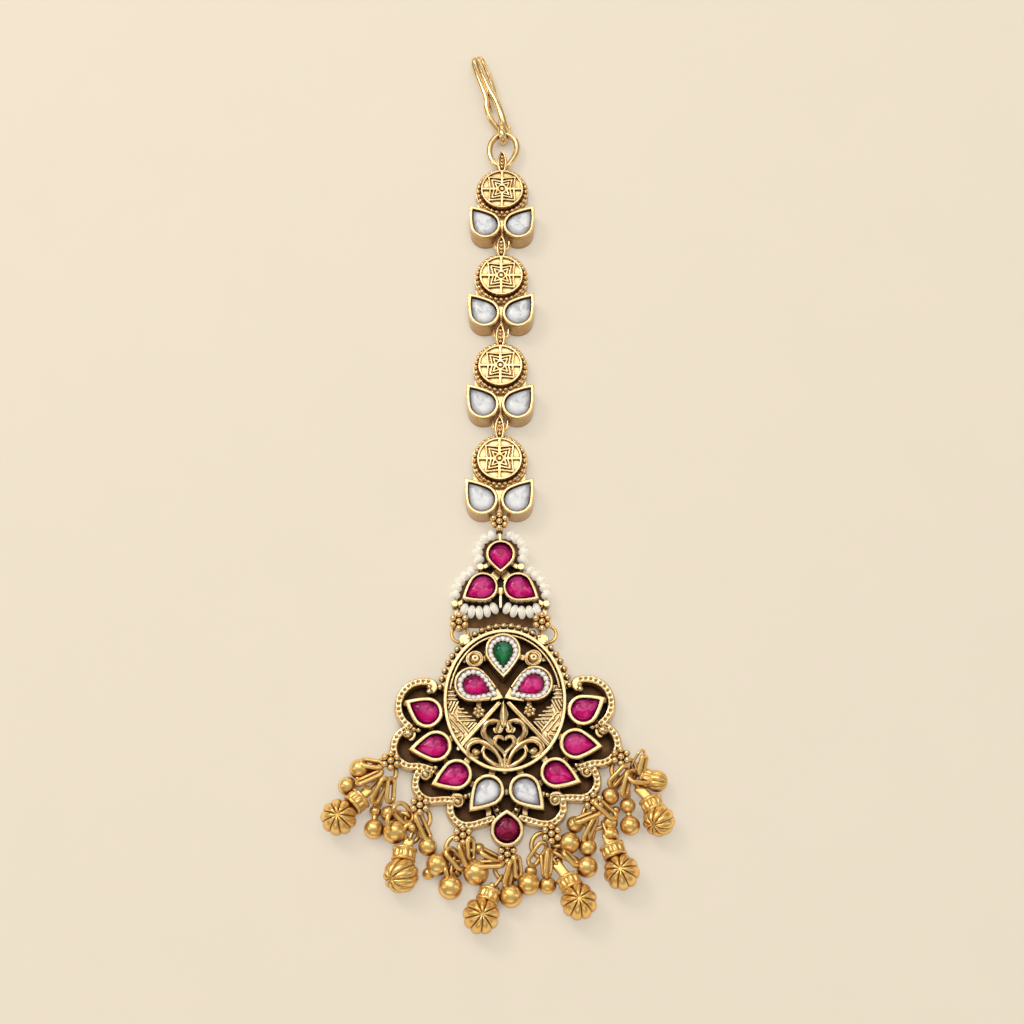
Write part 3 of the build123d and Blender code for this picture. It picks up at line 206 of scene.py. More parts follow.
def make_floor_material():
    """Pale paper that glows a little, so that shadows on it stay faint, with a painted brown contact shadow
    in the closest gaps.
    """
    look = Shader("floor")
    grain = look.span(look.noise(60.0, 5.0), 0.3, 0.7)
    # painted contact shadow: brown where the floor lies close under the part
    painted_shadow_mask = look.span(look.cavity(0.0022), 0.05, 0.55)
    paper = look.mix(grain, rgb(176, 167, 150), rgb(174, 165, 148))
    look.feed(look.surface, {
        "Base Color": look.mix(painted_shadow_mask, rgb(70, 48, 22), paper), "Roughness": 0.9, "Specular IOR Level": 0.0,
        "Emission Color": look.mix(painted_shadow_mask, rgb(120, 88, 46), rgb(238, 227, 208)),
        "Emission Strength": FLOOR_GLOW,
    })
    return look.material


# a gold's colours where it is bright, warm and dark, its least roughness, the radius of its edges, the
# width of a crevice that darkens as patina and painted shade, how far up a surface faces where the painted
# shade ends and the painted light begins, and glow, which is painted light
antique_gold = cast_gold(
    "antique_gold", "antique_gold", ((255, 234, 184), (250, 204, 134), (96, 52, 10)),
    0.16, 0.00026, 0.0007, (-0.2, 0.6), pits=0.06
)
link_gold = cast_gold(
    "link_gold", "antique_gold", ((255, 234, 182), (250, 202, 128), (124, 68, 12)),
    0.15, 0.0002, 0.0007, (-0.3, 0.62), pits=0.04, glow=0.05
)
bright_gold = cast_gold(
    "bright_gold", "bright_gold", ((255, 224, 148), (255, 196, 104), (134, 68, 12)),
    0.25, 0.0001, 0.0012, (-0.32, 0.85), pits=0.02, glow=0.1
)
wire_gold = cast_gold(
    "wire_gold", "bright_gold", ((255, 232, 182), (255, 214, 142), (140, 78, 16)),
    0.16, 0.0001, 0.0006, (-0.6, 0.6), pits=0.02, glow=0.06
)
grain_gold = cast_gold(
    "grain_gold", "antique_gold", ((255, 230, 178), (252, 204, 132), (120, 66, 16)),
    0.18, 0.0001, 0.0003, (-0.4, 0.5), glow=0.06
)
# painted shade: a dark plate behind the openwork, dark as the shade seen through its gaps
dark_plate = cast_gold(
    "dark_plate", "antique_gold", ((140, 98, 46), (112, 76, 34), (30, 17, 6)),
    0.5, 0.0001, 0.0012, (-0.3, 0.5), metallic=0.25
)
# a stone's colours above, below where painted light brightens it, at its rim and on dark facets as painted
# shade, and on its bright facets as painted highlight, its sparkle, which is how strongly its facets are
# painted, and the glow of its foil, which is painted light
ruby = make_stone(
    "ruby_stone", "ruby_stone", ((112, 4, 68), (214, 0, 112), (72, 0, 32), (236, 84, 164)), 0.5, 0.22
)
deep_ruby = make_stone(
    "deep_ruby", "ruby_stone", ((84, 0, 32), (126, 0, 46), (36, 0, 12), (200, 50, 108)), 0.6, 0.12
)
emerald = make_stone(
    "green_stone", "green_stone", ((4, 92, 70), (0, 122, 56), (0, 40, 26), (90, 160, 136)), 0.5, 0.12
)
clear = make_stone(
    "clear_stone", "clear_stone", ((198, 201, 206), (230, 232, 236), (96, 96, 100), (255, 255, 255)),
    0.55, 0.26
)
small_clear = make_stone(
    "small_stone", "clear_stone", ((226, 222, 218), (250, 246, 240), (140, 124, 110), (255, 255, 255)),
    0.8, 0.35
)
pearl = make_pearl()


# ---------- mesh helpers
UP = (0, 0, 1)
SMOOTH, FLAT = 180, 0  # limits that shade every edge smooth, or every face flat
DIMPLE_WIDTH = 0.22  # radians from a ball's pole
GROOVE_FADE = 0.35  # sine of the angle from a pole at which its grooves are full
TUBE_START = Vector((0.13, 0.21, 0.97))  # a direction that no wire starts along


class Form:
    """Vertices and faces of one piece, gathered from rings of points."""

    def __init__(self):
        self.vertices = []
        self.faces = []

    def loft(self, rings, closed=False):
        """Joins rings of equally many points; open ends are filled."""
        first, count = len(self.vertices), len(rings[0])
        for ring in rings:
            self.vertices.extend(tuple(point) for point in ring)
        for k in range(len(rings) if closed else len(rings) - 1):
            low, high = first + k * count, first + (k + 1) % len(rings) * count
            for j in range(count):
                after = (j + 1) % count
                self.faces.append((low + j, low + after, high + after, high + j))
        if not closed:
            self.faces.append(tuple(reversed(range(first, first + count))))
            last = first + (len(rings) - 1) * count
            self.faces.append(tuple(range(last, last + count)))

    def skin(self, rows, count, point):
        """Lofts a ring of count points for each row; point gives their places from a row and a turn."""
        self.loft([[point(row, turn) for turn in turns(count)] for row in rows])

    def tube(self, path, radii, closed=False, sides=10):
        """A round wire along points; radii is one size, or one for each point."""
        sizes = radii if isinstance(radii, list) else [radii] * len(path)
        count = len(path)
        across = None
        rings = []
        for k, point in enumerate(path):
            before = path[k - 1] if closed or k else point
            after = path[(k + 1) % count] if closed or k < count - 1 else point
            along = (Vector(after) - Vector(before)).normalized()
            if across is None:
                across = along.cross(TUBE_START).normalized()
            across = (across - along * across.dot(along)).normalized()
            up = along.cross(across)
            rings.append([Vector(point) + wheel(across, up, turn) * sizes[k] for turn in turns(sides)])
        self.loft(rings, closed)

    def ball(self, centre, radius, rows=12, around=24, pole=UP, lobes=1, depth=0.0, dimple=0.0):
        """A plain ball, or puffed lobes of around points each, whose narrow grooves meet at the poles."""
        along, across, up = axes(pole)

        def point(polar, turn):
            ends = sum(exp(-((angle / DIMPLE_WIDTH) ** 2)) for angle in (polar, pi - polar))
            groove = (1 - abs(sin(lobes * turn / 2)) ** 0.5) * min(sin(polar) / GROOVE_FADE, 1.0)
            size = radius * (1 - dimple * ends) * (1 - depth * groove)
            return Vector(centre) + (along * cos(polar) + wheel(across, up, turn) * sin(polar)) * size

        self.skin([pi * k / rows for k in range(1, rows)], lobes * around, point)


def axes(direction):
    """A direction's unit vector and two directions square to it, for rings about it."""
    along = Vector(direction).normalized()
    across = along.cross(Vector(UP))
    if across.length < 0.05:
        across = Vector((1, 0, 0))
    across.normalize()
    return along, across, along.cross(across)


def smooth_by_angle(obj, limit):
    """Shades smooth, apart from edges sharper than limit degrees."""
    name = f"smooth_{limit}"
    group = bpy.data.node_groups.get(name)
    if group is None:
        group = bpy.data.node_groups.new(name, "GeometryNodeTree")
        for way in ("INPUT", "OUTPUT"):
            group.interface.new_socket("Geometry", in_out=way, socket_type="NodeSocketGeometry")
        source, target = (group.nodes.new(f"NodeGroup{end}") for end in ("Input", "Output"))
        faces, edges = (group.nodes.new("GeometryNodeSetShadeSmooth") for _ in range(2))
        angle = group.nodes.new("GeometryNodeInputMeshEdgeAngle")
        sharp = group.nodes.new("FunctionNodeCompare")
        faces.domain = "FACE"
        edges.domain = "EDGE"
        edges.inputs["Shade Smooth"].default_value = False
        sharp.operation = "GREATER_THAN"
        sharp.inputs["B"].default_value = radians(limit)
        group.links.new(angle.outputs["Unsigned Angle"], sharp.inputs["A"])
        group.links.new(source.outputs[0], faces.inputs["Geometry"])
        group.links.new(faces.outputs["Geometry"], edges.inputs["Geometry"])
        group.links.new(sharp.outputs["Result"], edges.inputs["Selection"])
        group.links.new(edges.outputs["Geometry"], target.inputs[0])
    modifier = obj.modifiers.new("smooth_by_angle", "NODES")
    modifier.node_group = group


def dress(node, look, limit=32):
    """Gives a CAD node its material and smooth shading."""
    obj = nodes[node]
    obj.data.materials.clear()
    obj.data.materials.append(look.material)
    smooth_by_angle(obj, limit)


def piece(name, form, look, replaced=(), limit=60, values=None, tones=None):
    """A new mesh in millimetres, riding on the root; values are for its vertices and the painted
    reflections of facets for its faces.

    Edges sharper than limit degrees stay sharp.
    """
    mesh = bpy.data.meshes.new(name)
    mesh.from_pydata([Vector(v) * MM for v in form.vertices], [], form.faces)
    layers = [("tone", "FACE", tones)] if tones else []
    for key, domain, numbers in [(key, "POINT", values[key]) for key in values or {}] + layers:
        mesh.attributes.new(key, "FLOAT", domain).data.foreach_set("value", numbers)
    outward = bmesh.new()
    outward.from_mesh(mesh)
    bmesh.ops.recalc_face_normals(outward, faces=outward.faces)
    outward.to_mesh(mesh)
    outward.free()
    mesh.polygons.foreach_set("use_smooth", [limit != FLAT] * len(mesh.polygons))
    obj = bpy.data.objects.new(name, mesh)
    scene.collection.objects.link(obj)
    obj.data.materials.append(look.material)
    if replaced:
        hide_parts(*replaced)
    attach(obj, "root")
    if FLAT < limit < SMOOTH:
        smooth_by_angle(obj, limit)


def box_of(node):
    """The low and high corners of a CAD node, in millimetres."""
    return [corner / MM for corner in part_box(node)]


def turned(x, y, angle):
    """A point turned about the origin by an angle in radians."""
    return x * cos(angle) - y * sin(angle), x * sin(angle) + y * cos(angle)


def on_pendant(x, y):
    """A point of the pendant's own axes in the part's frame."""
    return turned(x, y, radians(LEAN))


def wheel(across, up, turn):
    """The direction at an angle in radians from across towards up."""
    return across * cos(turn) + up * sin(turn)


def spot(x, y, reach, turn):
    """The point at a distance and an angle, in radians, from another."""
    return x + reach * cos(turn), y + reach * sin(turn)


def turns(count, start=0.0):
    """Angles in radians that share out a full turn, from start degrees."""
    return [2 * pi * k / count + radians(start) for k in range(count)]


def turned_form(form, x, y, z, profile, count=28):
    """A form turned about an upright axis; each row of its profile is a radius and a height over z."""
    form.skin(profile, count, lambda row, turn: (*spot(x, y, row[0], turn), z + row[1]))


def pear_outline(radius, reach, count, bulge=8.0):
    """Points round a pear, anticlockwise from its tip at (reach, 0); the round end is about the origin."""
    start = acos(radius / reach) + radians(bulge)
    corner = Vector(spot(0, 0, radius, start))
    out = corner.normalized()
    chord = corner - Vector((reach, 0))
    side_radius = chord.length_squared / (2 * out.dot(chord))
    centre = corner - out * side_radius
    to_tip = Vector((reach, 0)) - centre
    turn = atan2(corner.y - centre.y, corner.x - centre.x)
    tip_turn = atan2(to_tip.y, to_tip.x)
    side_length = side_radius * (turn - tip_turn)
    total = 2 * side_length + 2 * radius * (pi - start)
    points = []
    for k in range(count):
        along = total * min(k, count - k) / count
        if along <= side_length:
            x, y = spot(*centre, side_radius, tip_turn + along / side_radius)
        else:
            x, y = spot(0, 0, radius, start + (along - side_length) / radius)
        points.append(Vector((x, y if 2 * k <= count else -y)))
    return points


def smooth_path(points, steps):
    """A curve through points of any length, eased between them (Catmull-Rom)."""
    path = []
    for k in range(len(points) - 1):
        four = [Vector(points[min(max(k + shift, 0), len(points) - 1)]) for shift in (-1, 0, 1, 2)]
        for j in range(steps):
            t = j / steps
            path.append(0.5 * (
                2 * four[1] + (four[2] - four[0]) * t
                + (2 * four[0] - 5 * four[1] + 4 * four[2] - four[3]) * t * t
                + (3 * four[1] - 3 * four[2] + four[3] - four[0]) * t * t * t
            ))
    path.append(Vector(points[-1]))
    return path


# ---------- CAD nodes
BRIGHT_NODES = ("bell", "drops", "side_ring", "hook", "top_ring", "oval_ring", "pearl_wires")
for node_name in nodes:
    if node_name.startswith("link_stones"):
        dress(node_name, clear, 20)
    elif node_name.startswith("link_"):
        dress(node_name, link_gold)
    elif node_name.startswith(BRIGHT_NODES):
        dress(node_name, bright_gold)
dress("connector", antique_gold)
dress("pendant_frame", antique_gold)
# the backs behind the openwork are dark as painted shade
dress("connector_back", dark_plate)
dress("pendant_back", dark_plate)
dress("seed_pearls", pearl)
dress("halo_stones", small_clear, 10)


# ---------- stones
STONE_SIDES = 11
TABLE = 0.6  # share of the girdle
CULET = 0.45
HEART = (0.12, -0.2)  # where the table's facets meet, off its middle, in shares of the radius
# painted reflections: how bright a side's facets are painted
STREAKS = (0.2, 0.42, 0.7, 1.0)  # how bright a side's facets are
Gem = namedtuple("Gem", "node radius reach turn crown look")
GEMS = [
    Gem("emerald", 1.72, 2.77, -89, 0.85, emerald),
    Gem("halo_ruby_right", 1.89, 2.86, 207, 0.85, ruby),
    Gem("halo_ruby_left", 1.89, 2.86, -25, 0.85, ruby),
    Gem("connector_stone_top", 2.09, 2.87, -90, 0.8, ruby),
    Gem("connector_stone_right", 2.19, 3.49, -31.6, 0.8, ruby),
    Gem("connector_stone_left", 2.19, 3.49, 211.6, 0.8, ruby),
    Gem("drop_ruby", 2.17, 2.70, 91, 0.8, deep_ruby),
]
FAN_TURNS = {"fan_ruby_1": 29.7, "fan_ruby_2": -6.6, "fan_ruby_3": -21.7, "fan_clear": -47.1}
for fan_name, fan_turn in FAN_TURNS.items():
    fan_look = clear if fan_name == "fan_clear" else ruby
    GEMS.append(Gem(f"{fan_name}_right", 2.06, 3.56, fan_turn + LEAN, 0.8, fan_look))
    GEMS.append(Gem(f"{fan_name}_left", 2.06, 3.56, 180 - fan_turn + LEAN, 0.8, fan_look))
LINK_GEM = Gem("link_stones", 2.33, 4.02, 53, 0.75, clear)


def stone(gem, side=0):
    """A cut stone in its CAD solid's place: girdle, half-stepped crown facets and table, over a pavilion.

    A node with two stones takes this one's place from its left (side -1) or right (side 1) end.
    """
    sides, radius = STONE_SIDES, gem.radius
    outline = pear_outline(radius, gem.reach, sides)
    offset = pear_outline(radius, gem.reach, 2 * sides)[1::2]
    middle = sum(outline, Vector((0, 0))) / sides
    angle = radians(gem.turn)
    low, high = box_of(gem.node)
    widths, depths = zip(*(turned(*point, angle) for point in pear_outline(radius, gem.reach, 6 * sides)))
    left, right = min(widths), max(widths)
    x = (low.x - left, (low.x + high.x - left - right) / 2, high.x - right)[side + 1]
    y = (low.y + high.y - min(depths) - max(depths)) / 2
    girdle = high.z - gem.crown
    # each ring's points, their share of the outline, height, and how much painted shade the bezel puts on
    # them
    rings = (
        (outline, 1.0, girdle - 0.08, 1.0),
        (outline, 0.985, girdle + 0.05, 0.8),
        (offset, 0.84, girdle + gem.crown * 0.6, 0.3),
        (outline, TABLE, high.z - 0.05, 0.0),
        (offset, TABLE * 0.55, high.z - 0.02, 0.0),
        (outline, CULET, low.z, 1.0),
    )
    form, falls, rims = Form(), [], []
    for points, scale, z, rim in rings:
        for point in points:
            dx, dy = turned(*(middle + (point - middle) * scale), angle)
            form.vertices.append((x + dx, y + dy, z))
            # painted light: brighter towards the stone's lower end
            falls.append(min(max(0.5 - (dy - 0.3) / (2.2 * radius), 0.0), 1.0))
            rims.append(rim)
    heart = len(form.vertices)
    inner = form.vertices[4 * sides:5 * sides]
    heart_x, heart_y = (sum(v[i] for v in inner) / sides + HEART[i] * radius for i in (0, 1))
    form.vertices.append((heart_x, heart_y, high.z))
    falls.append(0.5)
    rims.append(0.0)
    tones = []
    shade = random.Random(gem.node)
    for k in range(sides):
        # the vertices of the six rings on this side of the facet and on the next
        a, b = ([row * sides + j for row in range(6)] for j in (k, (k + 1) % sides))
        form.faces += [
            (a[0], b[0], b[1], a[1]), (a[1], b[1], a[2]), (a[2], b[1], b[2]), (a[2], b[2], b[3]),
            (a[2], b[3], a[3]), (a[3], b[3], a[4]), (a[4], b[3], b[4]), (a[4], b[4], heart),
            (b[0], a[0], a[5], b[5]),
        ]
        # painted reflections: a side's facets share one streak of brightness
        streak = shade.choice(STREAKS)
        tones.append(0.1)
        tones += [0.8 * streak + 0.2 * shade.random() for _ in range(4)]
        tones += [min(1.0, 0.15 + 0.7 * streak + 0.3 * shade.random()) for _ in range(3)]
        tones.append(0.0)
    form.faces.append(tuple(reversed(range(5 * sides, 6 * sides))))
    tones.append(0.0)
    name = f"{gem.node}_cut" if side < 1 else f"{gem.node}_cut_right"
    piece(name, form, gem.look, (gem.node,), 34, {"fall": falls, "rim": rims}, tones)


def make_stones():
    """Every large stone, each in place of its plain CAD solid."""
    for gem in GEMS:
        stone(gem)
    for number in (1, 2, 3, 4):
        gem = LINK_GEM._replace(node=f"link_stones_{number}")
        stone(gem._replace(turn=180 - gem.turn), side=-1)
        stone(gem, side=1)


Halo = namedtuple("Halo", "x y radius reach turn")
HALOS = [
    Halo(0.0, 8.38, 2.24, 3.55, -90.0),
    Halo(5.265, 2.475, 2.3, 3.98, 203.6),
    Halo(-5.265, 2.475, 2.3, 3.98, -23.6),
]
HALO_COUNT = 18
HALO_STONE = 0.5
HALO_PRONG = 0.16
HALO_PRONG_SHIFT = 0.36
# a small stone's rings: share of its radius, height over the CAD's and turn in steps
HALO_RINGS = ((0.8, -0.6, 0), (1, -0.2, 0), (0.98, -0.1, 0), (0.72, 0.1, 0.5), (0.4, 0.16, 0))


def make_halos():
    """Rows of small round stones in place of the CAD's, with two gold grains between each pair."""
    top = box_of("halo_stones")[1].z
    stones, tones, grains = Form(), [], Form()
    shade = random.Random(18)
    for halo in HALOS:
        for k, point in enumerate(pear_outline(halo.radius, halo.reach, 2 * HALO_COUNT)):
            dx, dy = turned(*point, radians(halo.turn))
            x, y = on_pendant(AXIS_X + halo.x + dx, halo.y + dy)
            if k % 2:
                outward = Vector((dx, dy, 0)).normalized()
                for shift in (-HALO_PRONG_SHIFT, HALO_PRONG_SHIFT):
                    grains.ball(Vector((x, y, top + 0.1)) + outward * shift, HALO_PRONG, 8, 8)
                continue
            stones.loft([
                [(*spot(x, y, HALO_STONE * size, turn), top + z) for turn in turns(8, spin * 360 / 8)]
                for size, z, spin in HALO_RINGS
            ])
            # the painted reflections of the girdle's faces, the crown's, the back and the table
            tones += [0.3] * 16 + [shade.uniform(0.1, 1.0) for _ in range(16)]
            tones += [0.3, shade.uniform(0.4, 1.0)]
    values = {"rim": [0.0] * len(stones.vertices), "fall": [0.5] * len(stones.vertices)}
    piece("halo_stones_cut", stones, small_clear, ("halo_stones",), FLAT, values, tones)
    piece("halo_prongs", grains, antique_gold, limit=SMOOTH)


# ---------- bells
Bell = namedtuple("Bell", "node group turn cap_x cap_y cap_radius x y radius pole_x pole_y")
# place on the ring, cap, melon and the direction of its pole; in the CAD's millimetres
BELLS = [
    Bell("bell_left_outer", "left_outer", 232, -25.0, -17.3, 1.7, -28.0, -20.2, 3.1, 0.0, 0.0),
    Bell("bell_left_middle", "left_middle", 250, -16.9, -26.2, 1.75, -17.3, -29.8, 3.0, -0.6, -0.3),
    Bell("bell_centre", "centre", 235, -2.6, -33.0, 1.65, -3.9, -36.4, 3.1, 0.1, 0.0),
    Bell("bell_right_inner", "right_inner", 302, 10.8, -30.8, 1.7, 12.3, -34.1, 3.1, 0.0, 0.1),
    Bell("bell_right_middle", "right_middle", 308, 18.2, -25.6, 1.75, 19.5, -29.3, 3.05, -0.15, 0.1),
    Bell("bell_right_outer", "right_outer", 308, 24.9, -17.8, 1.6, 26.0, -20.7, 2.75, -0.46, -0.42),
    Bell("bell_right_side", "right_outer", 343, 24.1, -13.35, 1.35, 25.9, -13.9, 1.9, 0.9, -0.2),
]
KNOB = (17.85, -22.85, 1.45)  # a small ball soldered beside one bell's strap
LOBES = 9
LOBE_DEPTH = 0.14
LOBE_DIMPLE = 0.12
FLUTES = 12
CAP_GROWTH = 0.4  # over the radius in BELLS
CAP_LENGTH = 2.5
CAP_SHIFT = 0.2  # along the axis, towards the melon
STRAP_WIDTH = 1.9
STRAP_THICK = 1.1
STRAP_GAP = 0.1  # between the wire loop and the strap
STRAP_END = 0.6  # how far the strap stops before the cap's middle
NECK = 0.6  # share of the cap's radius
NECK_END = 0.8  # share of the melon's radius
CAP_OFF_FLOOR = 0.1
BELL_WIRE = 0.25
BELL_LOOP = 1.3
WIRE_LOOP = 0.7  # half height of the loops that hang bells and drops on their rings
OFF_FLOOR = 0.03
# a cap along its axis: share of its length, of its radius, and depth of its flutes
CAP_PROFILE = (
    (-0.52, 0.5, 0), (-0.5, 0.86, 0), (-0.44, 0.97, 0), (-0.36, 1, 0), (-0.28, 0.97, 0),
    (-0.23, 0.88, 0.02), (-0.16, 0.92, 0.1), (0, 0.95, 0.12), (0.16, 0.92, 0.1), (0.23, 0.88, 0.02),
    (0.28, 0.95, 0), (0.36, 0.97, 0), (0.44, 0.92, 0), (0.5, 0.8, 0), (0.52, 0.45, 0),
)
# a strap's swell along its length
STRAP_SWELL = ((0, 0.55), (0.04, 0.85), (0.12, 1), (0.35, 0.92), (0.6, 0.88), (0.85, 0.97), (1, 1.05))


def fluted_cap(form, centre, axis, radius):
    """A fluted drum between two plain rims."""
    along, across, up = axes(axis)

    def point(row, turn):
        share, size, depth = row
        reach = radius * (size - depth * abs(cos(FLUTES * turn / 2)) ** 3)
        return centre + along * share * CAP_LENGTH + wheel(across, up, turn) * reach

    form.skin(CAP_PROFILE, FLUTES * 8, point)


def strap(form, start, end, side):
    """A folded band with rounded edges, a little narrower at its waist."""
    along = (end - start).normalized()
    side = (side - along * side.dot(along)).normalized()
    up = along.cross(side)

    def point(row, turn):
        share, swell = row
        flat = copysign(abs(cos(turn)) ** 0.45, cos(turn)) * STRAP_WIDTH / 2 * swell
        rise = copysign(abs(sin(turn)) ** 0.6, sin(turn)) * STRAP_THICK / 2 * swell
        return start + (end - start) * share + side * flat + up * rise

    form.skin(STRAP_SWELL, 20, point)


def stadium(start, along, up, length, height, steps=12):
    """Points round a loop with two half rounds."""
    points = []
    for quarter, reach in ((pi / 2, 0), (-pi / 2, length)):
        for k in range(steps + 1):
            turn = quarter + pi * k / steps
            points.append(start + along * (reach + height * cos(turn)) + up * height * sin(turn))
    return points


def ring_point(group, turn):
    """A place at an angle in radians on the middle line of a group's jump ring."""
    low, high = box_of(f"bell_ring_{group}")
    middle = (low + high) / 2
    reach = (high.x - low.x - (high.z - low.z)) / 2
    return Vector((*spot(middle.x, middle.y, reach, turn), middle.z))


def square_to(along, tilt):
    """The level direction square to a run, and the one that leans tilt degrees from upright towards it."""
    side = Vector((along.y, -along.x, 0)).normalized()
    lean = radians(tilt)
    return side, side.cross(along) * cos(lean) + side * sin(lean)


def make_bell(bell):
    """A melon with its fluted cap, its strap and the wire loop that hangs it on the ring."""
    start = ring_point(bell.group, radians(bell.turn))
    height = bell.radius + OFF_FLOOR
    melon = Vector((bell.x, bell.y, height))
    reach = hypot(bell.cap_x - start.x, bell.cap_y - start.y)
    share = min(reach / hypot(bell.x - start.x, bell.y - start.y), 1.0)
    cap_z = max(start.z + (height - start.z) * share, bell.cap_radius + CAP_OFF_FLOOR)
    cap = Vector((bell.cap_x, bell.cap_y, cap_z))
    axis = (melon - cap).normalized()
    along = (cap - start).normalized()
    side, up = square_to(along, 0)
    form = Form()
    form.tube(stadium(start, along, up, BELL_LOOP, WIRE_LOOP), BELL_WIRE, closed=True)
    strap(form, start + along * (BELL_LOOP + STRAP_GAP), cap - axis * STRAP_END, side)
    fluted_cap(form, cap + axis * CAP_SHIFT, axis, bell.cap_radius + CAP_GROWTH)
    pole_z = sqrt(1 - bell.pole_x**2 - bell.pole_y**2)
    pole = (bell.pole_x, bell.pole_y, pole_z)
    form.ball(melon, bell.radius, 30, 12, pole, LOBES, LOBE_DEPTH, LOBE_DIMPLE)
    neck = (melon - cap).length - bell.radius * NECK_END
    form.tube([cap, cap + axis * neck], bell.cap_radius * NECK, sides=24)
    if bell.node == "bell_right_middle":
        form.ball((KNOB[0], KNOB[1], KNOB[2] + OFF_FLOOR), KNOB[2], 20, 32)
    piece(f"{bell.node}_cast", form, bright_gold, (bell.node,), 50)


# ---------- drops
# by groups, in the CAD's millimetres: each drop's place on the ring in degrees, its ball, and a second ball
# soldered to it
Drop = namedtuple("Drop", "turn x y radius x2 y2 radius2", defaults=(0, 0, 0))
DROPS = {
    "centre": [(157, -2.9, -26.9, 0.65), (277, 1, -33.1, 1.75), (323, 4, -31.1, 1.65, 4.4, -29, 0.95)],
    "left_inner": [
        (217, -11.3, -27.9, 1.7, -12.8, -29.3, 0.95), (259, -9.1, -31.7, 1.8), (306, -4.8, -29.3, 1.9),
        (1, -4.35, -25.2, 0.9),
    ],
    "left_middle": [(169, -19.75, -19.3, 1.2), (210, -18.6, -22.5, 1.8), (291, -13, -24.9, 1.4)],
    "left_outer": [
        (166, -24.9, -11.8, 1.5), (199, -26.9, -14.7, 1.4), (265, -22.05, -18.9, 0.9, -22.15, -22, 1.5),
    ],
    "right_inner": [(8, 10.9, -24.3, 1.6), (335, 13.8, -28.3, 1.6), (269, 7.2, -31.3, 1.3)],
    "right_middle": [(202, 11.9, -21.2, 1.3), (254, 14, -25, 1.35)],
    "right_outer": [(238, 17.95, -16.4, 1.35), (273, 20.9, -18, 1.2, 21.2, -21.4, 1.5)],
}
# oval jump rings that lie among the drops: the two ends of their straight run, height, half width, and
# their lean from upright
Loop = namedtuple("Loop", "x1 y1 x2 y2 z half tilt")
LOOPS = {
    "left_outer": [
        (-23.9, -10.9, -21.6, -11.2, 2.7, 0.7, 60), (-24.4, -14.2, -21.6, -12.8, 3.2, 0.7, 40),
        (-19.4, -14.3, -19.5, -16.8, 2.6, 0.7, 50), (-20.5, -14.4, -21.9, -17, 3.3, 0.75, 40),
    ],
    "left_middle": [
        (-18.7, -20.9, -18.5, -21, 3.3, 1.75, 72), (-17.6, -19, -16.7, -19.9, 2.6, 1.3, 68),
        (-15.9, -22.4, -15.7, -23, 2.2, 1.2, 75), (-14.5, -20.2, -13.1, -23.2, 2.7, 0.7, 45),
    ],
    "left_inner": [
        (-9, -26.2, -7.4, -27.9, 2.8, 0.9, 60), (-7.2, -25.4, -6.3, -27.7, 3.2, 0.7, 35),
        (-5.8, -24.3, -5.7, -26.6, 2.6, 0.65, 50), (-9.6, -29, -9.3, -30, 2.4, 0.6, 30),
    ],
    "centre": [
        (-4.2, -28.1, -0.9, -27.9, 3.3, 0.65, 45), (-3.4, -26, -1.4, -27, 2.6, 0.6, 50),
        (1.1, -28.2, 0.4, -31, 3.2, 0.7, 35), (2, -27.4, 2.2, -29.4, 2.6, 0.7, 45),
    ],
    "right_inner": [
        (6.2, -25.2, 4.8, -27.2, 2.4, 0.9, 55), (7.4, -26.4, 7.2, -29.2, 3.1, 0.75, 30),
        (10.4, -26.4, 11.7, -27.7, 3, 0.65, 35),
    ],
    "right_middle": [
        (16, -17.9, 18.1, -19.7, 3, 0.8, 50), (12.5, -20.7, 15.4, -19.5, 3.3, 0.65, 40),
        (15.1, -20.8, 13.7, -23.6, 2.8, 0.65, 35),
    ],
    "right_outer": [
        (20.3, -12.2, 18.4, -14.2, 2.9, 0.7, 50), (21, -13.2, 20.3, -15.8, 3.1, 0.7, 35),
        (22.1, -13.3, 23.6, -13.4, 3, 1.15, 65), (23.7, -10.4, 23.3, -12.3, 3.3, 0.65, 40),
    ],
}
LOOP_WIRE = 0.42
LOOP_FALL = 0.3  # how far a ring sinks along its run
# small balls whose own loops lie out of sight: their place and radius
BEADS = {
    "left_middle": [(-15.6, -21.9, 2.6, 0.75)],
    "left_inner": [(-9.5, -29.3, 1.2, 0.8), (-8.0, -29.2, 1.2, 0.8), (-9.8, -26.4, 1.6, 0.95)],
    "right_inner": [(9.0, -27.4, 1.3, 0.8)],
    "right_middle": [(17.8, -20.9, 1.6, 1.35)],
    "right_outer": [(18.9, -18.7, 1.0, 0.7)],
}
SWELL = 1.14  # the finished balls are this much larger than the CAD's
DROP_TILT = 38  # degrees that the drops' wire loops lean from upright
DROP_WIRE = 0.38
DROP_HEIGHT = 0.95  # lowest place for a ball, so that its wire loop clears the floor
RING_WIRE = 0.44
RING_CUT = (70, 356)  # degrees where a jump ring starts and how far it runs
SHORTEST_LOOP = 0.35
COLLAR = 0.5  # between a ball and the end of its loop
BALL_LINK = 0.5  # radius of the wire between two balls
# a collar soldered on a ball: height over the ball and radius
COLLAR_PROFILE = ((-0.3, 0.62), (0.0, 0.6), (0.22, 0.42), (0.4, 0.5), (0.55, 0.3))
BALL_MESH = (24, 40, (0.25, 0.2, 0.95))  # rows, points around, and pole


def make_loop(form, loop):
    """One of the oval jump rings among the drops."""
    start, end = Vector((loop.x1, loop.y1, loop.z)), Vector((loop.x2, loop.y2, loop.z - LOOP_FALL))
    along = (end - start).normalized()
    _, up = square_to(along, loop.tilt)
    form.tube(stadium(start, along, up, (end - start).length, loop.half), LOOP_WIRE, closed=True, sides=12)


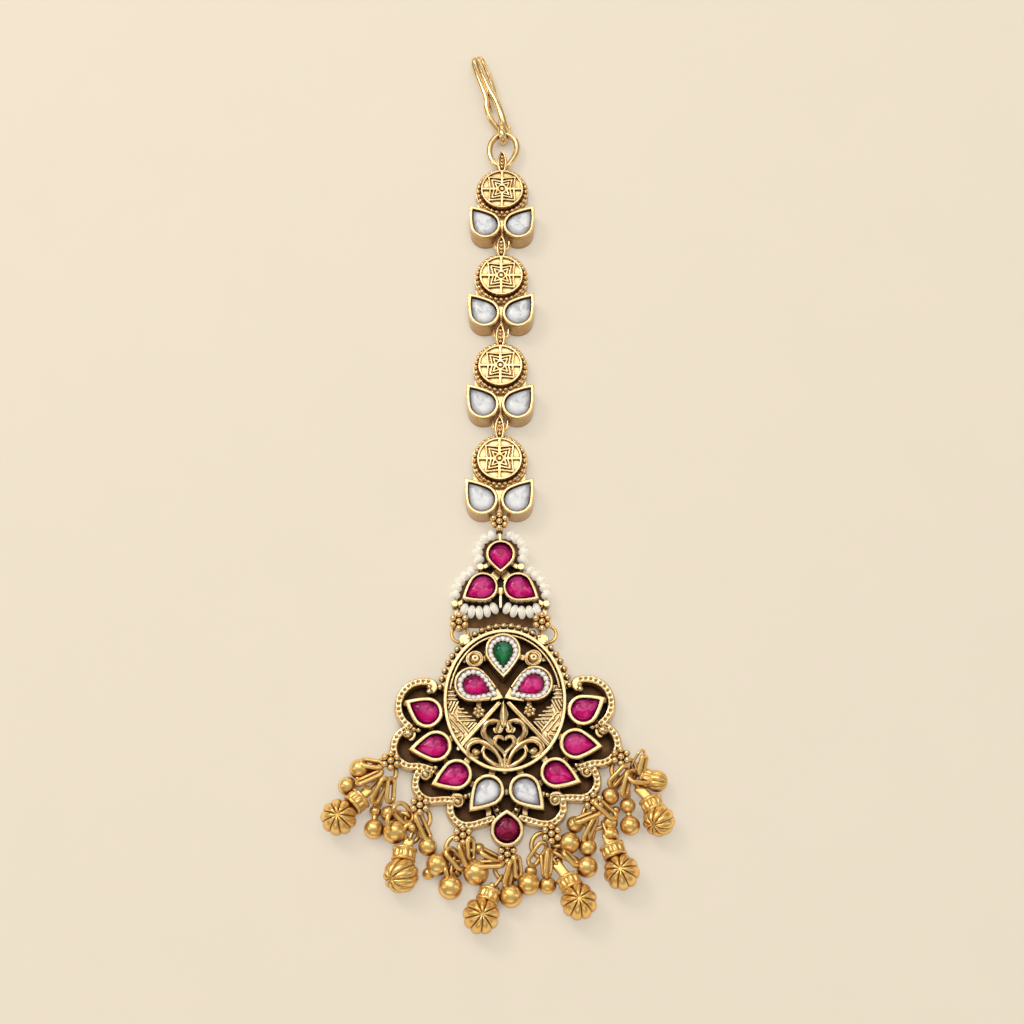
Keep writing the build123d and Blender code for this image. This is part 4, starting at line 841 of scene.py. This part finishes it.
def make_drop(form, group, drop):
    """A ball with its collar and its long wire loop, and a second ball under it if it has one."""
    start = ring_point(group, radians(drop.turn))
    radius, radius2 = drop.radius * SWELL, drop.radius2 * SWELL
    centre = Vector((drop.x, drop.y, max(radius, DROP_HEIGHT) + OFF_FLOOR))
    length = (centre - start).length
    along = (centre - start).normalized()
    _, up = square_to(along, DROP_TILT)
    reach = max(length - radius - COLLAR, SHORTEST_LOOP)
    form.tube(stadium(start, along, up, reach, WIRE_LOOP), DROP_WIRE, closed=True)
    neck = [centre - along * (radius + rise) for rise, _ in COLLAR_PROFILE]
    form.tube(neck, [size for _, size in COLLAR_PROFILE], sides=16)
    form.ball(centre, radius, *BALL_MESH)
    if radius2:
        second = Vector((drop.x2, drop.y2, radius2 + OFF_FLOOR))
        if (second - centre).length > radius + radius2:
            form.tube([centre, second], BALL_LINK, sides=16)
        form.ball(second, radius2, *BALL_MESH)


def make_drops():
    """Each group's drops, loops and beads as one piece, and the cut jump ring that they hang on."""
    for group, drops in DROPS.items():
        form = Form()
        for row in drops:
            make_drop(form, group, Drop(*row))
        for row in LOOPS[group]:
            make_loop(form, Loop(*row))
        for *place, radius in BEADS.get(group, ()):
            form.ball(place, radius, *BALL_MESH)
        piece(f"drops_{group}_cast", form, bright_gold, (f"drops_{group}",), 50)
        ring = Form()
        path = [ring_point(group, radians(RING_CUT[0] + RING_CUT[1] * k / 60)) for k in range(61)]
        ring.tube(path, RING_WIRE, sides=12)
        piece(f"jump_ring_{group}", ring, bright_gold, (f"bell_ring_{group}",), 50)


# ---------- scrollwork of the oval
AXIS_X = -0.2  # the motifs mirror about this line
SCROLL_Z = 2.95
# strokes of the left half as x, y, half width and rise of their ridge; the ends taper
STROKES = {
    "arm": (
        (-4.75, -9.75, 0.15, 0), (-5.5, -10.05, 0.28, 0), (-6.25, -9.6, 0.36, 0.05),
        (-6.55, -8.7, 0.4, 0.1), (-6.2, -7.85, 0.42, 0.1), (-5.4, -7.3, 0.43, 0.1),
        (-4.5, -7.2, 0.44, 0.1), (-3.6, -7.5, 0.44, 0.1), (-2.7, -8.05, 0.43, 0.05), (-1.9, -8.8, 0.4, 0),
        (-1.2, -9.85, 0.36, 0), (-0.72, -11, 0.3, 0), (-0.5, -12.2, 0.24, 0),
    ),
    "heart": (
        (-0.5, -5, 0.16, 0.1), (-0.75, -5.6, 0.22, 0.15), (-1.3, -5.62, 0.25, 0.15),
        (-1.55, -5.05, 0.26, 0.2), (-1.2, -4.35, 0.3, 0.25), (-1.35, -3.8, 0.38, 0.25),
        (-2.2, -3.68, 0.44, 0.25), (-3.05, -4, 0.47, 0.25), (-3.6, -4.75, 0.48, 0.2),
        (-3.65, -5.65, 0.45, 0.15), (-3.25, -6.55, 0.38, 0.1), (-2.6, -7.35, 0.28, 0),
        (-2.1, -7.9, 0.18, 0),
    ),
    "small_heart": (
        (-0.3, -7.1, 0.12, 0.1), (-0.75, -6.68, 0.26, 0.2), (-1.3, -6.62, 0.33, 0.25),
        (-1.75, -7.05, 0.36, 0.25), (-1.72, -7.75, 0.34, 0.2), (-1.15, -8.5, 0.28, 0.15),
        (-0.55, -9.2, 0.24, 0.1), (-0.25, -9.9, 0.2, 0.1), (-0.22, -11, 0.22, 0.1),
        (-0.22, -12.2, 0.26, 0.1),
    ),
    "leaf": (
        (-3.4, -8.15, 0.1, 0), (-3.78, -8.85, 0.24, 0.1), (-3.72, -9.6, 0.38, 0.15),
        (-3.2, -10.35, 0.45, 0.2), (-2.4, -10.98, 0.46, 0.2), (-1.5, -11.45, 0.4, 0.15),
        (-0.7, -11.75, 0.26, 0.05),
    ),
    "diagonal": (
        (-0.75, -0.55, 0.2, 0.1), (-2.6, -2.6, 0.3, 0.1), (-5, -5.2, 0.32, 0.1), (-7.75, -8.25, 0.26, 0),
    ),
}
SCROLL_BALL = (-5.0, -9.15, 0.62)
# the crested leaf on the axis as y, half width and rise
KEEL = (
    (-0.3, 0.22, 0.35), (-1.3, 0.4, 0.5), (-2.6, 0.66, 0.6), (-3.7, 0.6, 0.6), (-4.5, 0.42, 0.5),
    (-5.1, 0.1, 0.2),
)
KEEL_X = AXIS_X - 0.1
RIDGE_SIDES = 12
RIDGE_FOOT = Vector((0, 0, 0.4))  # how deep a ridge's foot stands in the metal under it


def ridge(form, path, base_z):
    """A stroke with a low arched top; each point of the path is x, y, half width and rise."""
    rings = []
    for k, (x, y, half, rise) in enumerate(path):
        across = across_line(path, k)
        middle = Vector((x, y, base_z))
        ring = []
        for j in range(RIDGE_SIDES + 1):
            turn = pi * j / RIDGE_SIDES
            lift = sin(turn) ** 0.8 * (half + rise)
            ring.append(middle + across * cos(turn) * half + Vector((0, 0, lift)))
        ring += [middle - across * half - RIDGE_FOOT, middle + across * half - RIDGE_FOOT]
        rings.append(ring)
    form.loft(rings)


def across_line(path, k):
    """The level direction square to a path at one of its points."""
    before, after = path[max(k - 1, 0)], path[min(k + 1, len(path) - 1)]
    along = Vector((after[0] - before[0], after[1] - before[1], 0)).normalized()
    return Vector((-along.y, along.x, 0))


def mirror_x(points):
    """Points or strokes mirrored about the pendant's axis."""
    return [(2 * AXIS_X - point[0], *point[1:]) for point in points]


def leaned(form):
    """Turns a form drawn on the pendant's own axis into the part's frame."""
    form.vertices = [(*on_pendant(x, y), z) for x, y, z in form.vertices]


def make_scrollwork():
    """The strokes of the openwork's lower half, its two balls and the leaf on its axis."""
    form = Form()
    for points in STROKES.values():
        for row in (points, mirror_x(points)):
            ridge(form, smooth_path(row, 6), SCROLL_Z)
    for x, y, radius in (SCROLL_BALL, *mirror_x([SCROLL_BALL])):
        form.ball((x, y, SCROLL_Z + 0.2), radius, 16, 32)
    rings = []
    for y, half, rise in smooth_path(KEEL, 5):
        foot, shoulder, crest = SCROLL_Z - 0.3, SCROLL_Z + 0.2, SCROLL_Z + 0.3 + 0.45 * rise
        left = ((-half, foot), (-half, shoulder), (-half * 0.12, crest))
        right = [(-x, z) for x, z in reversed(left)]
        rings.append([(KEEL_X + x, y, z) for x, z in (*left, *right)])
    form.loft(rings)
    leaned(form)
    piece("scrollwork", form, antique_gold, limit=40)


BOSSES = ((-5.05, 7.35), (5.15, 7.35))
# a boss from its rim to its pitted dome: radius, and height over the scrollwork
BOSS = (
    (1.5, -0.9), (1.5, 0), (1.4, 0.16), (1.2, 0.2), (1.06, 0.08), (0.98, -0.1), (0.9, 0.02), (0.82, 0.3),
    (0.62, 0.5), (0.36, 0.56), (0.2, 0.5), (0.14, 0.36), (0.05, 0.34),
)
ROSETTES = ((-4.55, -2.05), (4.25, -2.05))
ROSETTE_CORE = 0.85
ROSETTE_GRAIN = 0.42
ROSETTE_SPREAD = 0.72


def grain_flower(form, x, y, z, radius, spread, start, rise, rows, around):
    """Six grains round a seventh; the first stands at start radians, and the seventh rises over them."""
    for turn in turns(6):
        form.ball((*spot(x, y, spread, turn + start), z), radius, rows, around)
    form.ball((x, y, z + rise), radius, rows, around)


def make_bosses():
    """The two ringed bosses beside the emerald, and the rough rosettes under the side halos."""
    form = Form()
    for x, y in BOSSES:
        turned_form(form, x, y, SCROLL_Z, BOSS)
    for x, y in ROSETTES:
        form.ball((x, y, SCROLL_Z - 0.3), ROSETTE_CORE, 16, 6, UP, 7, 0.12)
        grain_flower(form, x, y, SCROLL_Z + 0.12, ROSETTE_GRAIN, ROSETTE_SPREAD, 0.3, 0.3, 12, 24)
    leaned(form)
    piece("bosses", form, antique_gold, limit=40)


# ---------- dotted curls of the fan
Curl = namedtuple("Curl", "x y radius start end tail_x tail_y head")
# left half: the big arc, where its tail ends and how its head ends; in the CAD's millimetres
CURLS = [
    Curl(-14.1, -0.75, 4.3, 72, 236, -16.2, -4.6, "hook"),
    Curl(-15.9, -7.9, 3.3, 110, 287, -12.6, -11.9, "ball"),
    Curl(-12.5, -14.1, 3.0, 130, 288, -8.7, -17.0, "snail"),
    Curl(-6.5, -18.35, 3.1, 150, 283, -2.5, -20.35, "snail"),
]
# a snail's relief from its rim to its middle: radius, and height over the CAD's curl
SNAIL = (
    (1.06, -1.5), (1.04, -0.05), (0.96, 0.22), (0.82, 0.34), (0.68, 0.28), (0.58, 0.06), (0.48, 0.06),
    (0.4, 0.26), (0.26, 0.42), (0.1, 0.46),
)
SNAIL_REACH = 1.15
HOOK_TURN = 165  # degrees that a hooked head bends back
CURL_Z = 2.62  # top of the CAD's curls
CURL_HALF = 0.66
CURL_END = 0.85  # radius that a head bends to
CURL_STEP = 0.1
CURL_JOINT = 11  # steps past a joint that are eased
CURL_EASING = 60  # rounds of easing
HOOK_BALL = 0.6
HEAD_BALL = 0.95
DOT_PITCH = 0.85
DOT = 0.2  # radius
DOT_DEPTH = 0.3
# the band's section from its foot to its top: share of the half width, and height over the CAD's curl
CURL_SECTION = (
    (1.3, -1.5), (1.16, -0.5), (1.06, -0.1), (0.94, 0.14), (0.78, 0.23), (0.6, 0.26), (0.44, 0.26),
    (0.3, 0.26), (0.15, 0.26), (0, 0.26),
)


def arc_points(x, y, radius, first, last):
    """Points along an arc between two angles in degrees."""
    count = max(int(abs(last - first) * pi / 180 * radius / CURL_STEP), 2)
    return [Vector(spot(x, y, radius, radians(first + (last - first) * k / count)))
            for k in range(count + 1)]


def curl_line(curl):
    """Points along a curl from its tail to the start of its head, with the joint between them eased."""
    big = arc_points(curl.x, curl.y, curl.radius, curl.end, curl.start)
    tail = Vector((curl.tail_x, curl.tail_y))
    count = max(int((big[0] - tail).length / CURL_STEP), 2)
    line = [tail.lerp(big[0], k / count) for k in range(count)] + big
    end = count + CURL_JOINT + 1
    for _ in range(CURL_EASING):
        line[1:end] = [(line[k - 1] + line[k + 1]) / 2 for k in range(1, end)]
    return line


def curl_band(form, line, dotted):
    """A flat band with sloping sides along a line, pitted with dots up to the given number of points."""
    travelled = [0.0]
    for before, after in zip(line, line[1:]):
        travelled.append(travelled[-1] + dist(before, after))
    pitch = travelled[dotted] / max(int(travelled[dotted] / DOT_PITCH), 1)
    rings = []
    for k, point in enumerate(line):
        across = across_line(line, k)
        near = abs((travelled[k] / pitch) % 1.0 - 0.5) * pitch
        taper = 1.0 if k < dotted else 1.0 - 0.25 * (k - dotted) / (len(line) - dotted)
        ring = []
        for side, rows in ((-1, CURL_SECTION), (1, CURL_SECTION[-2::-1])):
            for share, rise in rows:
                half = CURL_HALF * taper * share
                pit = 0.0
                if k < dotted and share < 0.7:
                    pit = DOT_DEPTH * exp(-((near**2 + half**2) / DOT**2) ** 1.5)
                ring.append(Vector((point[0], point[1], CURL_Z + rise - pit)) + across * side * half)
        rings.append(ring)
    form.loft(rings)


def make_curls():
    """The fan's pitted curls, whose heads end in a hook, a ball or a snail."""
    form = Form()
    for curl in CURLS:
        line = curl_line(curl)
        start = radians(curl.start)
        head = spot(curl.x, curl.y, curl.radius - CURL_END, start)
        dotted = len(line) - 1
        if curl.head == "hook":
            line += arc_points(*head, CURL_END, curl.start, curl.start - HOOK_TURN)[1:]
        for flip in (1, -1):
            curl_band(form, [(flip * point.x, point.y) for point in line], dotted)
            if curl.head == "hook":
                form.ball((flip * line[-1].x, line[-1].y, CURL_Z + 0.05), HOOK_BALL, 16, 32)
            elif curl.head == "ball":
                form.ball((flip * head[0], head[1], CURL_Z - 0.1), HEAD_BALL, 20, 32)
            else:
                x, y = spot(curl.x, curl.y, curl.radius - SNAIL_REACH, start)
                turned_form(form, flip * x, y, CURL_Z, SNAIL)
    leaned(form)
    piece("curls", form, antique_gold)


# ---------- grain flowers and bail rims
# on the pendant's axis: the flowers that carry the bells
FLOWERS = [(0.0, -26.3)]
for flower_x, flower_y in ((7.45, -23.05), (14.7, -17.85), (19.65, -10.2)):
    FLOWERS += [(flower_x, flower_y), (-flower_x, flower_y)]
FLOWER_Z = 2.85
# the connector's flowers, in the part's frame
CONNECTOR_FLOWERS = [(-8.1, 14.0, FLOWER_Z), (6.5, 14.0, FLOWER_Z), (-1.045, 32.34, 3.5)]
FLOWER_GRAIN = 0.6
FLOWER_SPREAD = 1.22


def make_flowers():
    """Six grains round a seventh, over the CAD's."""
    form = Form()
    for x, y, z in [(*on_pendant(*place), FLOWER_Z) for place in FLOWERS] + CONNECTOR_FLOWERS:
        grain_flower(form, x, y, z, FLOWER_GRAIN, FLOWER_SPREAD, pi / 6, 0.12, 14, 24)
    piece("flowers", form, grain_gold)


BAIL_Z = 3.1
# right half of a bail's rim, from its foot to its top: x and y from the link, half width and rise
BAIL_RIM = (
    (0, 3.3, 0.18, 0.14), (0.46, 4.3, 0.24, 0.2), (0.7, 5.5, 0.26, 0.24), (0.66, 6.6, 0.26, 0.24),
    (0.38, 7.7, 0.24, 0.2), (0, 8.35, 0.2, 0.14),
)
BAIL_GRAINS = (4.9, 5.6, 6.35, 7.1)
BAIL_GRAIN = 0.34
MEDAL_GRAINS = 28
MEDAL_GRAIN = 0.42
MEDAL_CIRCLE = 4.56
MEDAL_Z = 2.35


def make_link_grains():
    """Each link's pointed rim and row of grains on the bail, and the grains round its medallion."""
    form = Form()
    for number in range(4):
        x, y = LINK_TOP[0] + LINK_STEP[0] * number, LINK_TOP[1] + LINK_STEP[1] * number
        for flip in (1, -1):
            rim = [(x + flip * dx, y + dy, half, rise) for dx, dy, half, rise in BAIL_RIM]
            ridge(form, smooth_path(rim, 5), BAIL_Z)
        for dy in BAIL_GRAINS:
            form.ball((x, y + dy, BAIL_Z + 0.1), BAIL_GRAIN)
        for turn in turns(MEDAL_GRAINS):
            form.ball((*spot(x, y, MEDAL_CIRCLE, turn), MEDAL_Z), MEDAL_GRAIN)
    piece("link_grains", form, grain_gold)


# ---------- seed pearls
Pearls = namedtuple("Pearls", "x y radius first step length width")
# right half, about the connector's axis: the wire's arc, the first bead, the step and the bead's size
PEARLS = [
    Pearls(0.65, 26.9, 3.5, -22, 24.2, 1.42, 1.95),
    Pearls(2.6, 18.6, 5.5, 4.8, 14.2, 1.34, 1.9),
    Pearls(4.0, 21.55, 5.65, 239.5, 14.0, 1.32, 2.35),
]
PEARLS_ON_WIRE = 5
PEARL_Z = 1.95
PEARL_ROWS = 15


def seed_pearl(form, centre, along, length, width, shade):
    """A plump bead strung along a direction, uneven as seed pearls are."""
    swing = Matrix.Rotation(shade.uniform(-0.12, 0.12), 3, "Z")
    along, across, up = axes(swing @ along)
    stretch = (shade.uniform(0.94, 1.03), shade.uniform(0.92, 1.06), shade.uniform(0.95, 1.03))

    def point(polar, turn):
        spine = centre - along * cos(polar) * length / 2 * stretch[0]
        return spine + wheel(across * stretch[1], up * stretch[2], turn) * sin(polar) ** 0.78 * width / 2

    form.skin([pi * k / PEARL_ROWS for k in range(1, PEARL_ROWS)], 20, point)


def make_pearls():
    """Five pearls on each half of the connector's wires."""
    form = Form()
    shade = random.Random(30)
    for row in PEARLS:
        for side in (1, -1):
            for k in range(PEARLS_ON_WIRE):
                turn = radians(row.first + row.step * k)
                x, y = spot(row.x, row.y, row.radius, turn)
                along = Vector((-sin(turn) * side, cos(turn), 0))
                centre = Vector((CONNECTOR_X + side * x, y, PEARL_Z + shade.uniform(-0.05, 0.05)))
                seed_pearl(form, centre, along, row.length, row.width, shade)
    piece("seed_pearls_strung", form, pearl, ("seed_pearls",), SMOOTH)


# ---------- hook and top ring
# strands of the hook as x, y, z and wire radius, and the ring's path as x and y, in the CAD's millimetres
STRANDS = {
    "left": (
        (-0.35, 112, 0.75, 0.73), (-0.7, 113.4, 0.8, 0.73), (-1.9, 114.6, 1.5, 0.66),
        (-3.2, 116.4, 2.2, 0.64), (-3.75, 118.4, 2.6, 0.64), (-3.9, 120.6, 2.8, 0.64),
        (-4.9, 123.6, 2.8, 0.64), (-5.8, 126.4, 2.6, 0.64), (-6.3, 128.4, 2.3, 0.64),
        (-6.25, 129.8, 1.7, 0.64), (-5.9, 129.9, 1, 0.61), (-5.3, 128, 0.7, 0.59), (-4.5, 125, 0.7, 0.57),
        (-3.6, 121, 0.8, 0.54), (-3, 118.6, 0.9, 0.47),
    ),
    "right": (
        (-0.35, 112, 0.75, 0.73), (0.1, 113.2, 1.6, 0.78), (-0.45, 114.8, 2.6, 0.83),
        (-1.05, 117, 3, 0.78), (-1.9, 119.6, 3, 0.71), (-3.1, 122, 3, 0.66), (-4.2, 124.8, 2.9, 0.64),
        (-5.1, 127.6, 2.6, 0.64), (-5.5, 129.4, 2.2, 0.64), (-5.1, 130.2, 1.5, 0.64),
        (-4.5, 129.4, 1.2, 0.61), (-3.6, 127, 1.4, 0.59), (-2.8, 124.4, 1.6, 0.59),
        (-2.2, 121.8, 1.7, 0.59), (-1.6, 119.4, 1.7, 0.57), (-1.3, 117.4, 1.6, 0.47),
    ),
    "tail": (
        (-1.1, 116, 1.9, 0.50), (-0.5, 114.6, 1.7, 0.54), (0.25, 113.9, 1.3, 0.54), (0.6, 114.6, 1, 0.52),
        (0.2, 115.8, 0.9, 0.45),
    ),
    "eye": (
        (-0.9, 113.8, 2.4, 0.71), (-0.75, 112.6, 2.75, 0.73), (-0.55, 111.6, 2.4, 0.73),
        (-0.5, 111.35, 1.5, 0.71), (-0.5, 111.9, 0.7, 0.68), (-0.7, 113.4, 0.65, 0.66),
        (-1.4, 114.6, 1, 0.59),
    ),
}
RING_PATH = (
    (-0.45, 112.9), (0.75, 112.55), (1.75, 111.7), (2.2, 110.3), (2.05, 108.8), (1.35, 107.3),
    (0.4, 105.95), (-0.5, 105.55), (-1.6, 105.9), (-2.7, 107.1), (-3.15, 108.9), (-2.95, 110.7),
    (-2, 112.2),
)
TOP_RING_Z = 1.75
TOP_RING_WIRE = 0.62


def closed_path(points, steps):
    """A smooth closed curve through points."""
    count = len(points)
    wide = [points[k % count] for k in range(-2, count + 3)]
    return smooth_path(wide, steps)[2 * steps:(2 + count) * steps]


def make_hook():
    """The hook's bent strands, and the top ring."""
    form = Form()
    for rows in STRANDS.values():
        path = smooth_path(rows, 8)
        form.tube([point[:3] for point in path], [point[3] for point in path], sides=14)
    piece("hook_bent", form, wire_gold, ("hook",))
    form = Form()
    path = [(*point, TOP_RING_Z) for point in closed_path(RING_PATH, 8)]
    form.tube(path, TOP_RING_WIRE, closed=True, sides=14)
    piece("top_ring_bent", form, wire_gold, ("top_ring",))


make_stones()
for one_bell in BELLS:
    make_bell(one_bell)
make_drops()
make_scrollwork()
make_bosses()
make_curls()
make_flowers()
make_link_grains()
make_halos()
make_pearls()
make_hook()

# ---------- floor, camera and light
FLOOR_SIZE = 3.0
FLOOR_DROP = 0.00003  # metres that the floor lies under the part
CAMERA_TILT = 19.0  # degrees off straight down
WARM = (1.0, 0.96, 0.9)
# a soft box's direction from the pendant, distance, width, height, glow and colour
LIGHTS = {
    "overhead": ((0.0, 0.38, 1.0), 0.7, 0.5, 0.4, 1.55, (1.0, 0.98, 0.95)),
    "key": ((-0.62, 0.62, 1.0), 0.6, 0.17, 0.17, 9.0, (1.0, 0.97, 0.92)),
    "rear": ((0.1, 1.0, 0.35), 0.6, 0.5, 0.12, 1.6, (1.0, 0.97, 0.92)),
    "front": ((-0.1, -1.0, 0.6), 0.6, 0.5, 0.12, 1.5, WARM),
    "left": ((-1.0, -0.1, 0.6), 0.6, 0.12, 0.4, 1.5, WARM),
    "right": ((1.0, -0.1, 0.6), 0.6, 0.12, 0.4, 1.3, WARM),
}
LIGHT_TARGET = Vector((0.0, 0.03, 0.0))
SKY = ((0.12, 0.09, 0.06, 1.0), (0.4, 0.37, 0.33, 1.0))  # below and above


def place_in_scene(name, data):
    made = bpy.data.objects.new(name, data)
    scene.collection.objects.link(made)
    return made


def make_floor():
    """A wide pale sheet, just under the part."""
    mesh = bpy.data.meshes.new("floor")
    corners = [(x * FLOOR_SIZE, y * FLOOR_SIZE, 0) for x, y in ((-1, -1), (1, -1), (1, 1), (-1, 1))]
    mesh.from_pydata(corners, [], [(0, 1, 2, 3)])
    floor = place_in_scene("floor", mesh)
    floor.location.z = -FLOOR_DROP
    floor.data.materials.append(make_floor_material())


def make_camera():
    """The camera stands over the pendant and looks up the chain."""
    data = bpy.data.cameras.new("camera")
    data.lens = 58.0
    data.sensor_width = 36.0
    data.clip_start = 0.01
    camera = place_in_scene("camera", data)
    camera.location = Vector((1.213, -62.119, 283.0)) * MM
    camera.rotation_euler = (radians(CAMERA_TILT), 0.0, 0.0)
    scene.camera = camera


def area_light(name, direction, distance, width, height, glow, colour):
    """A soft box that faces the pendant from a direction; glow is how bright it looks in a reflection."""
    data = bpy.data.lights.new(name, "AREA")
    data.shape = "RECTANGLE"
    data.size = width
    data.size_y = height
    data.energy = glow * pi * width * height
    data.color = colour
    light = place_in_scene(name, data)
    away = Vector(direction).normalized()
    light.location = LIGHT_TARGET + away * distance
    light.rotation_euler = away.to_track_quat("Z", "Y").to_euler()


def make_world():
    """A dim warm sky, darker below."""
    world = bpy.data.worlds.new("world")
    scene.world = world
    world.use_nodes = True
    tree = world.node_tree
    kinds = ("ShaderNodeTexCoord", "ShaderNodeSeparateXYZ", "ShaderNodeValToRGB")
    place, split, ramp = (tree.nodes.new(kind) for kind in kinds)
    tree.links.new(place.outputs["Generated"], split.inputs["Vector"])
    tree.links.new(split.outputs["Z"], ramp.inputs["Fac"])
    tree.links.new(ramp.outputs["Color"], tree.nodes["Background"].inputs["Color"])
    for element, colour in zip(ramp.color_ramp.elements, SKY):
        element.color = colour
    tree.nodes["Background"].inputs["Strength"].default_value = 1.0


make_floor()
make_camera()
for light_name, light_row in LIGHTS.items():
    area_light(light_name, *light_row)
make_world()
scene.view_settings.view_transform = "Standard"
